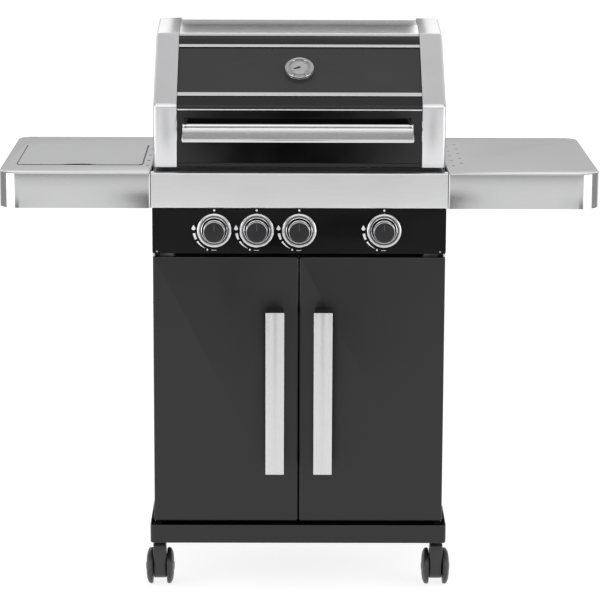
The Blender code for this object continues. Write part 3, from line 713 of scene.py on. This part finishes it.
# %% Shell and steel band
line = hood_line(SHELL_INSET, HOOD_BOTTOM, HOOD_REAR_END, SHEET_FOLDS)
shell = skin("shell", [across(bent_sheet(line, -SHEET), x) for x in (-SHELL_HALF, SHELL_HALF)])
add("hood_sheet", shell, hood_enamel, "hood", "hood_shell", 0.0004, 2)
BAND_PROUD, BAND_SHEET = 0.0015, 0.0012
line = hood_line(SHELL_INSET - BAND_PROUD, HOOD_BOTTOM, HOOD_REAR_END, SHEET_FOLDS)
BAND_DOWN_BACK, BAND_FRONT_STEP = 0.4, 4   # the band starts half-way round the brow's arc
tail = tuple(Vector(line[-2]).lerp(Vector(line[-1]), BAND_DOWN_BACK))
line = line[ARC_STEPS + 2 + BAND_FRONT_STEP:-1] + [tail]
band = skin("band", [across(bent_sheet(line, -BAND_SHEET), x) for x in (-SHELL_HALF, SHELL_HALF)])
add("hood_band", band, steel_band, "hood", "hood_top_band", 0.0004, 2)
band_length = sum(hypot(b[0] - a[0], b[1] - a[1]) for a, b in zip(line, line[1:]))
print("steel band", round(band_length * 1000), "mm round")


# %% Plates and strips on the slope
def slope_plate(name, along0, along1, low, high, half, finish, stands_for=(), bevel=0.0006):
    outline = [on_slope(along0, low), on_slope(along0, high), on_slope(along1, high), on_slope(along1, low)]
    plate = skin(name, [across(outline, x) for x in (-half, half)])
    return add(name, plate, finish, "hood", stands_for, bevel)


ON_SHELL = GAP - SHELL_INSET
STRIP_TOP, PLATE_TOP = ON_SHELL + 0.002, ON_SHELL + 0.0012
for word, along0, along1 in (("upper", 0.1435, 0.179), ("lower", 0.8145, 0.8606)):
    slope_plate(f"hood_strip_{word}", along0, along1, ON_SHELL, STRIP_TOP, SHELL_HALF, steel_trim,
                f"hood_trim_{word}")
slope_plate("hood_front_plate", 0.209, 0.811, ON_SHELL, PLATE_TOP, SHELL_HALF - 0.0008, front_enamel)


def front_plate(name, low, high, thickness, half, finish, bevel):
    face = at(BEND[0] + SHELL_INSET)
    outline = [(face, low), (face - thickness, low), (face - thickness, high), (face, high)]
    return add(name, skin(name, [across(outline, x) for x in (-half, half)]), finish, "hood", (), bevel)


EDGE_HALF = SHELL_HALF - 0.0003
front_plate("hood_gloss_plate", 0.9236, 1.0326, 0.0012, SHELL_HALF - 0.0006, gloss_enamel,
            0.0004)
front_plate("hood_bead", 1.0328, 1.0356, 0.0026, EDGE_HALF, steel_trim, 0.0011)
front_plate("hood_hem", 0.9154, 0.9230, 0.0024, EDGE_HALF, cabinet_paint, 0.0010)
print("front plate, gloss plate, bead, hem and two strips")

# %% [markdown]
# ## The hood's handle
# The handle is a steel channel bent back at both ends to the hood. Its front leans back about eight degrees
# from bottom to top, and a groove runs under its top lip, which gives the thin lines of light along the top.
# The section is carried round the plan with mitred corners, so it keeps its depth all the way round.


# %% Swept channel
def swept(name, path, section, basis=UP):
    """A closed (inset, height) section carried along a plan path; inset moves it to the path's left."""
    lines = {inset: beside(path, inset) for inset, _ in section}
    rings = []
    for k in range(len(path)):
        rings.append(placed([(*lines[inset][k], height) for inset, height in section], ORIGIN, basis))
    return skin(name, rings)


handle_low, handle_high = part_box("hood_handle")
foot = at(BEND[0] + SHELL_INSET) - GAP
plan = [(handle_low.x, foot), (handle_low.x, handle_low.y), (handle_high.x, handle_low.y),
        (handle_high.x, foot)]
z0, z1 = handle_low.z, handle_high.z
section = [(0.0105, z0 + 0.0015), (0.0038, z0), (0.0014, z0 + 0.0010), (0.0002, z0 + 0.0035),
           (0.0, z0 + 0.0060), (0.0005, z0 + 0.0100), (0.0017, z0 + 0.0190), (0.0026, z0 + 0.0250),
           (0.0037, z0 + 0.0300), (0.0066, z0 + 0.0314), (0.0068, z0 + 0.0334), (0.0034, z0 + 0.0342),
           (0.0040, z1 - 0.0012), (0.0056, z1), (0.0105, z1), (0.0105, z1 - 0.0014),
           (0.0085, z1 - 0.0022), (0.0085, z0 + 0.0030), (0.0105, z0 + 0.0028)]
HANDLE_CORNER = 0.0015
handle = swept("handle", rounded(plan, (HANDLE_CORNER, HANDLE_CORNER), 4), section)
add("hood_grip", handle, steel_grip, "hood", "hood_handle", 0.0003, 2)
handle_length = handle_high.x - handle_low.x
print("hood handle", round(handle_length * 1000), "mm long and", round((z1 - z0) * 1000), "mm high")

# %% [markdown]
# ## Thermometer
# A bimetal thermometer sits in a turned chrome bezel with a notch cut into its lower edge. The bezel is the
# same section at every angle, only lower in the notch, so it is a ring of sections and not a lathe shape.
# The dial is a silver disc with printed ticks, and the needle is the CAD's own, which turns on its joint.

# %% Bezel with a notch
DIAL_ALONG_SLOPE = 0.51
seat = Vector((0, *on_slope(DIAL_ALONG_SLOPE, -SHELL_INSET)))
RISE = 0.0003
BEZEL = ((0.0298, RISE), (0.0298, 0.0050), (0.0290, 0.0058), (0.0290, 0.0066), (0.0302, 0.0078),
         (0.0303, 0.0098), (0.0297, 0.0110), (0.0286, 0.0118), (0.0250, 0.0128), (0.0232, 0.0135),
         (0.0218, 0.0136), (0.0211, 0.0128), (0.0210, 0.0114), (0.0210, RISE))
TOP = max(height for _, height in BEZEL)
NOTCH_HALF, NOTCH_WALL, NOTCH_DEPTH = radians(25), radians(2), 0.0034
SECTIONS = 72
first = radians(-90) + NOTCH_HALF + NOTCH_WALL
round_the_rim = 2 * pi - 2 * (NOTCH_HALF + NOTCH_WALL)
stations = [(first + step * round_the_rim / (SECTIONS - 1), 0) for step in range(SECTIONS)]
stations += [(radians(-90) - NOTCH_HALF, 1), (radians(-95), 1), (radians(-85), 1),
             (radians(-90) + NOTCH_HALF, 1)]
rings = []
for turn, sunk in stations:
    ring = []
    for radius, height in BEZEL:
        height = min(height, TOP - NOTCH_DEPTH) if sunk else height
        ring.append((radius * cos(turn), radius * sin(turn), height))
    rings.append(placed(ring, seat, ON_SLOPE))
# The bezel takes the darker copy of the chrome, which paints shade onto it.
add("thermometer_bezel", skin("bezel", rings, True), painted_shade_chrome, "hood", "thermometer_case")
DIAL = ((0.0002, 0.0114), (0.0209, 0.0114), (0.0209, 0.0100), (0.0002, 0.0100))
dial = turned("dial", DIAL, seat, ON_SLOPE, 64)
add("thermometer_dial", dial, dial_silver, "hood")
print("bezel of", len(stations), "sections, notch", round(2 * 0.03 * sin(NOTCH_HALF) * 1000, 1), "mm wide")

# %% Dial marks and needle
MARK_LOW, MARK_HIGH, MARK_OUTER = 0.01135, 0.0115, 0.0180
marks = []
for step in range(19):
    turn = radians(225 - 15 * step)
    long_mark = step % 3 == 0
    inner, half = (0.0150 if long_mark else 0.0164), (0.00040 if long_mark else 0.00025)
    out, side = Vector((cos(turn), sin(turn), 0)), Vector((-sin(turn), cos(turn), 0))
    ends = ((inner, -half), (MARK_OUTER, -half), (MARK_OUTER, half), (inner, half))
    corners = [out * r + side * w for r, w in ends]
    marks.append(slab("mark", [(c.x, c.y) for c in corners], MARK_LOW, MARK_HIGH, seat, ON_SLOPE))
arc = [(0.0194 * cos(radians(a)), 0.0194 * sin(radians(a))) for a in range(225, -46, -10)]
arc += [(0.0190 * cos(radians(a)), 0.0190 * sin(radians(a))) for a in range(-45, 226, 10)]
marks.append(slab("mark", arc, MARK_LOW, MARK_HIGH, seat, ON_SLOPE))
HUB = ((0.0002, 0.0133), (0.0010, 0.0133), (0.0013, 0.0130), (0.0013, 0.0114))
hub = turned("hub", HUB, seat, ON_SLOPE, 20)
add("thermometer_marks", merged("marks", marks), needle_paint, "hood")
add("thermometer_hub", hub, chrome, "hood")
nodes["thermometer_needle"].data.materials.clear()
nodes["thermometer_needle"].data.materials.append(needle_paint)
print(len(marks), "dial marks")

# %% [markdown]
# ## Side shelves
# Each shelf is one steel pressing with a wide front corner, a smaller back corner and a deep skirt. The edge
# between top and skirt is a small fold that catches a line of light. Vent holes are punched near the fire
# box, and the left shelf has an opening for the side burner's lid. The pressing is made of rings that go up
# the inside, over the folded edge and down the outside, and the holes are cut afterwards.

# %% Shelf pressings
shelf_low, shelf_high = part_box("side_shelf_right")
SHELF_DEPTH = shelf_high.y - shelf_low.y
EDGE = 0.0030
CORNERS = (0.004, 0.045, 0.030, 0.004)   # inner front, outer front, outer back, inner back
VENT_RADIUS, VENT_STEP = 0.0034, 0.065


def shelf_plan(side, inset, z):
    radii = tuple(corner - inset for corner in CORNERS)
    outline = rectangle(shelf_low.x + inset, shelf_high.x - inset, at(inset), at(SHELF_DEPTH - inset),
                        radii, 12)
    return [(side * x, y, z) for x, y in outline]


def hole(x, behind):
    profile = ((VENT_RADIUS, -0.01), (VENT_RADIUS, 0.01))
    return turned("hole", profile, Vector((x, at(behind), SHELF_TOP)), UP, 20)


lid_low, lid_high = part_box("side_burner_lid")
margin = 0.003
for side, word in SIDES:
    rings = [shelf_plan(side, SHEET, shelf_low.z), shelf_plan(side, 0, shelf_low.z)]
    for step in range(6):
        turn = step * pi / 10
        rings.append(shelf_plan(side, EDGE * (1 - cos(turn)), SHELF_TOP - EDGE * (1 - sin(turn))))
    body = skin(f"shelf_{word}", [shelf_plan(side, SHEET, SHELF_TOP - SHEET)] + rings)
    if word == "left":
        cutters = [hole(-0.3175, behind) for behind in (0.0955, 0.162, 0.237, 0.321)]
        opening = rectangle(lid_low.x - margin, lid_high.x + margin, lid_low.y - margin,
                            lid_high.y + margin, 0.012)
        cutters.append(slab("opening", opening, SHELF_TOP - 0.02, SHELF_TOP + 0.02))
    else:
        cutters = [hole(0.3235, 0.105 + VENT_STEP * k) for k in range(6)]
        cutters += [hole(0.343, 0.1375 + VENT_STEP * k) for k in range(5)]
    shelf = carved(body, cutters)
    add(f"shelf_{word}", shelf, steel_shelf, "cart", f"side_shelf_{word}")
    rim = SHELF_TOP - 0.074
    screw_x = -0.3495 if side < 0 else 0.352
    screws(f"shelf_screws_{word}", [(screw_x, at(0.022), rim + 0.0005)], (X_AXIS, -Y_AXIS, -Z_AXIS), chrome,
           "cart", 1.1)
print("shelves", round(SHELF_DEPTH * 1000), "mm deep with", len(cutters), "vent holes on the right")

# %% [markdown]
# ## Side burner lid
# The lid is a flat pressed cover that lies in the shelf's opening and hinges at its back. A shallow finger
# notch at its front edge shows the dark well under it. Its rounded corners come from the outline and its soft
# edge from a Bevel.

# %% Lid with a finger notch
middle_x = (lid_low.x + lid_high.x) / 2
NOTCH_REACH, NOTCH_DEEP = 0.034, 0.011
outline = rectangle(lid_low.x, lid_high.x, lid_low.y, lid_high.y, 0.009, 6)
cut = []
for k in range(17):
    turn = pi * k / 16
    cut.append((middle_x + NOTCH_REACH * cos(turn), lid_low.y - 0.001 + NOTCH_DEEP * sin(turn)))
cut += [(middle_x - NOTCH_REACH, lid_low.y - 0.01), (middle_x + NOTCH_REACH, lid_low.y - 0.01)]
notch = slab("notch", cut, lid_low.z - 0.01, lid_high.z + 0.01)
lid = carved(slab("lid", outline, lid_low.z, lid_high.z), [notch])
add("burner_cover", lid, steel_shelf, "burner_lid", "side_burner_lid", 0.0008, 3)
BARREL = ((0.0002, -0.012), (0.0012, -0.012), (0.0015, -0.0117), (0.0015, 0.0117), (0.0012, 0.012),
          (0.0002, 0.012))
knuckles = []
for x in (lid_low.x + 0.030, lid_high.x - 0.030):
    place = Vector((x, lid_high.y + 0.0004, lid_high.z - 0.0016))
    knuckles.append(turned("knuckle", BARREL, place, FACING_RIGHT, 16))
add("burner_cover_pins", merged("knuckles", knuckles), chrome, "burner_lid")
print("lid", [round((b - a) * 1000) for a, b in zip(lid_low, lid_high)], "mm")

# %% [markdown]
# ## Fascia and control panel
# The fascia is a steel channel that closes the gap between the shelves. The black panel under it is a shallow
# tray with small rounded edges. It carries four burner controls: each has a chrome bezel, a knob, and simple
# printed signs for off, full flame and low flame. The signs are thin raised shapes, like screen print.

# %% Fascia
fascia_low, fascia_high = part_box("front_fascia")
line = [(at(0.022), fascia_high.z), (at(0), fascia_high.z), (at(0), fascia_low.z), (at(0.022), fascia_low.z)]
sheet = bent_sheet(rounded(line, (EDGE, EDGE), 6), SHEET)
add("fascia", skin("fascia", [across(sheet, x) for x in (fascia_low.x, fascia_high.x)]), steel_fascia, "cart",
    "front_fascia")

# %% Panel tray
panel_low, panel_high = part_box("control_panel")


def panel_outline(inset, radius):
    return rectangle(panel_low.x + inset, panel_high.x - inset, panel_low.z + inset, panel_high.z - inset,
                     radius, 6)


rings = []
for inset, depth in ((SHEET, -0.0220), (0.0, -0.0220), (0.0, -0.0020), (0.0004, -0.0008), (0.0012, -0.0002),
                     (0.0022, 0.0)):
    rings.append([(x, panel_low.y - depth, z) for x, z in panel_outline(inset, 0.0035)])
rings.insert(0, [(x, panel_low.y + SHEET, z) for x, z in panel_outline(SHEET, 0.002)])
KNOB_X, KNOB_Z = (-0.176, -0.088, 0.0, 0.176), 0.785
STEM_HOLE = ((0.006, -0.01), (0.006, 0.01))
holes = [turned("stem_hole", STEM_HOLE, Vector((x, panel_low.y, KNOB_Z)), FACING_FRONT, 24) for x in KNOB_X]
add("panel", carved(skin("panel", rings), holes), panel_paint, "cart", "control_panel")
screws("panel_screws", [(x, panel_low.y, 0.7400) for x in (-0.295, 0.2926)], FACING_FRONT, steel_plain,
       "cart", 0.6)
print("panel", round((panel_high.x - panel_low.x) * 1000), "mm wide")

# %% Bezels and knobs
RING = ((0.0245, 0.0014), (0.0253, 0.0040), (0.0262, 0.0050), (0.0272, 0.0046), (0.0280, 0.0052),
        (0.0292, 0.0064), (0.0312, 0.0071), (0.0334, 0.0070), (0.0352, 0.0060), (0.0362, 0.0042),
        (0.0365, 0.0020), (0.0365, GAP), (0.0245, GAP))
# The first two points of the grip are the bore that its valve stem stands in.
GRIP = ((0.0042, 0.0222), (0.0042, 0.0076), (0.0205, 0.0074), (0.0214, 0.0078), (0.0216, 0.0100),
        (0.0200, 0.0116), (0.0194, 0.0130), (0.0196, 0.0236), (0.0204, 0.0246), (0.0206, 0.0252),
        (0.0205, 0.0258), (0.0196, 0.0262), (0.0140, 0.0264), (0.0002, 0.0265))
TRIM = ((0.0206, 0.0244), (0.0216, 0.0244), (0.0221, 0.0252), (0.0221, 0.0262), (0.0216, 0.0268),
        (0.0209, 0.0267), (0.0206, 0.0261))
SKIRT = ((0.0214, 0.0075), (0.0224, 0.0078), (0.0228, 0.0092), (0.0222, 0.0104), (0.0212, 0.0108))


FLUTES, FLUTE_DEPTH = 16, 0.035


def fluted(turn, k):
    """Shrinks the grip's straight side, points 6 and 7, in even grooves."""
    return 1 - FLUTE_DEPTH * (0.5 + 0.5 * cos(FLUTES * turn)) ** 2 if 6 <= k <= 7 else 1


for number, x in enumerate(KNOB_X, 1):
    place = Vector((x, panel_low.y, KNOB_Z))
    body = f"knob_{number}"
    add(f"bezel_{number}", turned("bezel", RING, place, FACING_FRONT, 72, True), chrome, "cart",
        f"knob_bezel_{number}")
    grip = turned("grip", GRIP, place, FACING_FRONT, 96, False, fluted)
    add(f"knob_grip_{number}", grip, knob_plastic, body, f"knob_{number}")
    for word, profile in (("rim", TRIM), ("skirt", SKIRT)):
        hoop = turned(word, profile, place, FACING_FRONT, 64, True)
        add(f"knob_{word}_{number}", hoop, chrome, body)
    line = rectangle(-0.0006, 0.0006, 0.0030, 0.0165, 0.0005, 3)
    pointer = slab("pointer", line, 0.0258, 0.0268, place, FACING_FRONT)
    add(f"knob_pointer_{number}", pointer, pointer_grey, body)
print("four knobs", round(2 * TRIM[2][0] * 1000), "mm across on", round(2 * RING[-2][0] * 1000), "mm bezels")


# %% Printed signs
def flame(size, x, z):
    """A plain drop shape: a round foot that rises to a point."""
    outline = []
    for k in range(24):
        turn = -pi / 2 + 2 * pi * k / 24
        lift = max(0.0, sin(turn)) ** 1.5
        across_it = size * 0.62 * cos(turn) * (1 - 0.75 * lift)
        outline.append((x + across_it, z + size * (0.55 * sin(turn) + 0.55 * lift)))
    return outline


def swoosh(x, z, radius, start, end, thick0, thick1, steps=12):
    """A band along an arc whose thickness changes from one end to the other."""
    outer, inner = [], []
    for k in range(steps + 1):
        turn = radians(start + (end - start) * k / steps)
        half = (thick0 + (thick1 - thick0) * k / steps) / 2
        outer.append((x + (radius + half) * cos(turn), z + (radius + half) * sin(turn)))
        inner.append((x + (radius - half) * cos(turn), z + (radius - half) * sin(turn)))
    return outer + inner[::-1]


def printed(outline, relief=0.00012):
    return slab("sign", outline, 0.00005, relief, Vector((0, panel_low.y, 0)), FACING_FRONT)


SIGN_RADIUS, DOT_HEIGHT, DOT_RADIUS = 0.0425, 0.0418, 0.0022
signs = []
for x in KNOB_X:
    dot = []
    for k in range(20):
        turn = pi * k / 10
        dot.append((x + DOT_RADIUS * cos(turn), KNOB_Z + DOT_HEIGHT + DOT_RADIUS * sin(turn)))
    signs += [printed(dot), printed(flame(0.0066, x - 0.0430, KNOB_Z + 0.0035))]
    signs.append(printed(swoosh(x, KNOB_Z, SIGN_RADIUS, 189, 207, 0.0052, 0.0042)))
    signs.append(printed(swoosh(x, KNOB_Z, SIGN_RADIUS, 214, 244, 0.0036, 0.0004)))
    signs.append(printed(flame(0.0028, x - 0.0145, KNOB_Z - 0.0415)))
    signs.append(printed(swoosh(x, KNOB_Z, SIGN_RADIUS, 262, 276, 0.0008, 0.0008)))
add("panel_signs", merged("signs", signs), print_white, "cart")
print(len(signs), "printed signs")

# %% [markdown]
# ## Doors and their handles
# A door is a sheet tray with folded edges, hung on pins at its outer corners. Its handle is an upright
# brushed strip on two black feet. The strip is folded back along its long edges, so its section is drawn
# once and carried from the bottom to the top.

# %% Door trays
PIN = ((0.0002, 0.0), (0.0022, 0.0), (0.0022, 0.0085), (0.0002, 0.0085))
PIN_X, PIN_BEHIND = 0.3012, 0.0255
for side, word in SIDES:
    low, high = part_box(f"door_{word}")
    rings = []
    for inset, depth in ((SHEET, SHEET), (SHEET, 0.020), (0.0, 0.020), (0.0, 0.0026), (0.0005, 0.0010),
                         (0.0014, 0.0003), (0.0028, 0.0)):
        outline = rectangle(low.x + inset, high.x - inset, low.z + inset, high.z - inset, 0.0042, 6)
        rings.append([(x, low.y + depth, z) for x, z in outline])
    add(f"door_leaf_{word}", skin("leaf", rings), cabinet_paint, f"{word}_door",
        f"door_{word}")
    pins = []
    for z in (low.z - 0.0045, high.z - 0.004):
        pins.append(turned("pin", PIN, Vector((side * PIN_X, at(PIN_BEHIND), z)), UP, 16))
    add(f"door_pins_{word}", merged("pins", pins), chrome, f"{word}_door")
print("doors", round((high.x - low.x) * 1000), "by", round((high.z - low.z) * 1000), "mm")

# %% Door handles
STRIP = ((0.0, 0.0055), (0.0, 0.0016), (0.0004, 0.0006), (0.0014, 0.0), (0.0376, 0.0), (0.0386, 0.0006),
         (0.0390, 0.0016), (0.0390, 0.0055), (0.0374, 0.0055), (0.0374, 0.0020), (0.0016, 0.0020),
         (0.0016, 0.0055))
for side, word in SIDES:
    low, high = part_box(f"door_handle_{word}")
    door_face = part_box(f"door_{word}")[0].y
    strip = skin("strip", [[(low.x + x, low.y + depth, z) for x, depth in STRIP] for z in (low.z, high.z)])
    add(f"door_grip_{word}", strip, steel_upright, f"{word}_door", f"door_handle_{word}",
        0.0004, 2)
    feet = []
    for z0 in (low.z + 0.0008, high.z - 0.0148):
        outline = rectangle(low.x + 0.0018, high.x - 0.0018, z0, z0 + 0.014, 0.002, 4)
        feet.append(skin("foot", [[(x, y, z) for x, z in outline] for y in (low.y + 0.0021, door_face)]))
    add(f"door_grip_feet_{word}", merged("feet", feet), knob_plastic, f"{word}_door", (),
        0.0008, 2)
print("door handles", round((high.z - low.z) * 1000), "mm long")

# %% [markdown]
# ## Cabinet
# Side walls are folded into channels so that they stand stiff. The base is a tray with a rolled lip, joined
# to the walls by small flared gussets. The back has a pressed field, which keeps a large sheet from drumming.

# %% Side walls
for side, word in SIDES:
    low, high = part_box(f"side_panel_{word}")
    line = [(0.290, 0.0305), (0.305, 0.0305), (0.305, 0.470), (0.290, 0.470)]
    sheet = bent_sheet(rounded(line, (0.003, 0.003), 6), SHEET)
    wall = skin("wall", [[(side * x, at(y), z) for x, y in sheet] for z in (low.z, high.z)])
    add(f"side_wall_{word}", wall, cabinet_paint, "cart", f"side_panel_{word}", 0.0004, 2)
    outwards = (Y_AXIS * side, Z_AXIS, X_AXIS * side)
    spots = [(side * 0.305, at(b), z) for b in (0.060, 0.440) for z in (0.172, 0.62, 0.800)]
    screws(f"side_wall_screws_{word}", spots, outwards, chrome, "cart", 1.1)
print("side walls", round((high.z - low.z) * 1000), "mm high")

# %% Base tray and gussets
low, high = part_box("base_pan")
rings = []
for inset, z in ((0.002, low.z + 0.002), (0.002, high.z - 0.0005), (0.0014, high.z), (0.0006, high.z),
                 (0.0, high.z - 0.0008), (0.0, low.z + 0.003), (0.0008, low.z + 0.0010),
                 (0.0022, low.z + 0.0002), (0.0040, low.z)):
    corner = max(0.002, 0.008 - inset)
    outline = rectangle(low.x + inset, high.x - inset, low.y + inset, high.y - inset, corner, 6)
    rings.append([(x, y, z) for x, y in outline])
add("base_tray", skin("base", rings), cabinet_paint, "cart", "base_pan")
GUSSET = ((0.3052, 0.184), (0.3068, 0.184), (0.3110, 0.162), (0.3128, 0.1522), (0.3052, 0.1522))
gussets = []
for side in (-1, 1):
    outline = [(side * x, z) for x, z in GUSSET]
    for b0, b1 in ((0.0360, 0.0400), (0.2380, 0.2420), (0.4350, 0.4390)):
        gussets.append(skin("gusset", [[(x, at(b), z) for x, z in outline] for b in (b0, b1)]))
add("base_gussets", merged("gussets", gussets), cabinet_paint, "cart", (), 0.0004, 2)
print("base tray", round((high.x - low.x) * 1000), "by", round((high.y - low.y) * 1000), "mm")

# %% Back sheet
FIELD = 0.0006   # the pressed field's depth, measured outwards from the sheet's inner face
low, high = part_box("back_panel")
rings = []
for inset, depth in ((0.0, 0.0), (0.0, SHEET), (0.040, SHEET), (0.043, FIELD), (0.0431, FIELD)):
    outline = rectangle(low.x + inset, high.x - inset, low.z + inset, high.z - inset, 0.004 + inset * 0.4, 6)
    rings.append([(x, low.y + depth, z) for x, z in outline])
add("back_sheet", skin("back", rings), cabinet_paint, "cart", "back_panel")
spots = [(x, high.y, z) for x in (-0.290, 0.0, 0.290) for z in (0.135, 0.620)]
spots += [(x, high.y, 0.38) for x in (-0.290, 0.290)]
screws("back_screws", spots, FACING_BACK, chrome, "cart", 1.1)
print("back sheet", round((high.z - low.z) * 1000), "mm high")

# %% [markdown]
# ## Casters
# Each caster is two domed plastic wheels on one axle, with a hooded housing between them and a stem that
# swivels in the base. The wheels turn with the wheel body and the housing with the caster body, so they
# are separate pieces. The dome, the ring moulded into it and the rounded tread are one lathe profile.

# %% Wheels and housings
DOME = ((0.0002, 0.0305), (0.0075, 0.0304), (0.0082, 0.0298), (0.0200, 0.0290), (0.0262, 0.0281),
        (0.0268, 0.0273), (0.0282, 0.0272), (0.0289, 0.0277), (0.0330, 0.0262), (0.0362, 0.0245),
        (0.0382, 0.0226), (0.0390, 0.0204), (0.0390, 0.0180), (0.0384, 0.0160), (0.0368, 0.0150),
        (0.0060, 0.0150), (0.0041, 0.0146))
STEM = ((0.0002, 0.0960), (0.0098, 0.0960), (0.0098, 0.1040), (0.0118, 0.1052), (0.0118, 0.1085),
        (0.0085, 0.1092), (0.0085, 0.1117), (0.0002, 0.1117))
TRAIL, AXLE_HEIGHT, HOUSING_RADIUS, HOUSING_HALF = 0.020, 0.039, 0.0265, 0.0137
for row in ("front", "rear"):
    for side, word in SIDES:
        low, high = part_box(f"caster_wheels_{row}_{word}")
        hub = (low + high) / 2
        profile = [(r, -h) for r, h in DOME] + [(r, h) for r, h in reversed(DOME)]
        wheels = turned("wheels", profile, hub, FACING_RIGHT, 56)
        add(f"wheel_pair_{row}_{word}", wheels, wheel_plastic, f"wheels_{row}_{word}",
            f"caster_wheels_{row}_{word}")
        swivel = Vector((hub.x, hub.y - TRAIL, 0))
        arc = [radians(-150 + 212 * k / 20) for k in range(21)]
        side_line = [(TRAIL + HOUSING_RADIUS * cos(t), AXLE_HEIGHT + HOUSING_RADIUS * sin(t)) for t in arc]
        side_line += rounded([side_line[-1], (0.0235, 0.0850), (0.0130, 0.0975), (-0.0130, 0.0975),
                              (-0.0190, 0.0860), side_line[0]], (0.02, 0.008, 0.008, 0.02), 4)[1:-1]
        outline = [(swivel.y + y, z) for y, z in side_line]
        shell = skin("housing", [across(outline, swivel.x + x) for x in (-HOUSING_HALF, HOUSING_HALF)])
        add(f"caster_hood_{row}_{word}", shell, caster_plastic, f"caster_{row}_{word}",
            f"caster_housing_{row}_{word}", 0.0032, 4)
        add(f"caster_stem_{row}_{word}", turned("stem", STEM, swivel, UP, 32), caster_plastic,
            f"caster_{row}_{word}")
print("wheels", round(2 * DOME[11][0] * 1000), "mm across")

# %% [markdown]
# ## Inside the hood
# The warming rack is a grid of chromed wire: two hoops on the fire box and straight wires across them.
# Each wire is a tube with round ends. The cooking grates, the burners and the fire box keep their CAD
# shapes, with worn edges from a Bevel modifier.


# %% Warming rack wires
def wire(name, path, radius, sides=10):
    """A round wire through points in space."""
    rings = []
    for k, point in enumerate(path):
        point = Vector(point)
        before = Vector(path[max(k - 1, 0)])
        after = Vector(path[min(k + 1, len(path) - 1)])
        along = (after - before).normalized()
        side = along.cross(Y_AXIS if abs(along.y) < 0.9 else Z_AXIS).normalized()
        other = along.cross(side)
        turns = [2 * pi * j / sides for j in range(sides)]
        rings.append([point + (side * cos(turn) + other * sin(turn)) * radius for turn in turns])
    return skin(name, rings)


low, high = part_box("warming_rack")
HOOP, CROSS = 0.0022, 0.0016
wires = []
for y in (low.y + HOOP, high.y - HOOP):
    line = [(low.x + HOOP, low.z), (low.x + HOOP, high.z - HOOP), (high.x - HOOP, high.z - HOOP),
            (high.x - HOOP, low.z)]
    wires.append(wire("hoop", [(x, y, z) for x, z in rounded(line, (0.010, 0.010), 6)], HOOP))
for k in range(23):
    x = low.x + 0.018 + k * (high.x - low.x - 0.036) / 22
    z = high.z - HOOP
    wires.append(wire("cross", [(x, low.y + HOOP, z), (x, high.y - HOOP, z)], CROSS, 8))
for x in (low.x + HOOP, high.x - HOOP):
    wires.append(wire("tie", [(x, low.y + HOOP, low.z + 0.03), (x, high.y - HOOP, low.z + 0.03)], CROSS, 8))
add("rack_wires", merged("rack", wires), chrome, "cart", "warming_rack")
print(len(wires), "wires in the rack")

# %% CAD shapes that stay, with their finishes
KEPT = {
    "fire_box": (box_enamel, 0.0012), "side_burner_bowl": (box_enamel, 0.0005),
    "front_rail": (cabinet_paint, 0.0003), "door_catch": (knob_plastic, 0.0012),
    "cooking_grate_left": (cast_iron, 0.0016), "cooking_grate_right": (cast_iron, 0.0016),
    "side_burner_support": (cast_iron, 0.0012), "side_burner_head": (brass, 0.0006),
    "gas_manifold": (brass, 0.0005), "grease_tray": (steel_plain, 0.0004),
    "hood_hinge_rod": (steel_plain, 0.0006),
}
for k in (1, 2, 3):
    KEPT[f"burner_{k}"] = (steel_plain, 0.0004)
    KEPT[f"heat_plate_{k}"] = (steel_plain, 0.0003)
for k in (1, 2, 3, 4):
    KEPT[f"valve_stem_{k}"] = (brass, 0.0003)
for name, (finish, width) in KEPT.items():
    item = nodes[name]
    item.data.materials.clear()
    item.data.materials.append(finish)
    weld = item.modifiers.new("weld", "WELD")
    weld.merge_threshold = 0.00001
    edge = item.modifiers.new("edge", "BEVEL")
    edge.width, edge.segments, edge.limit_method, edge.angle_limit = width, 2, "ANGLE", radians(35)
shown = [name for name, item in nodes.items() if not item.hide_render]
print(len(shown), "CAD nodes still shown:", sorted(set(shown) - set(KEPT)))

# %% Sizes, then the last line
visual_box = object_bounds()
for name, box in (("cad", cad_box), ("visual", visual_box)):
    print(name, [[round(v, 4) for v in corner] for corner in box])
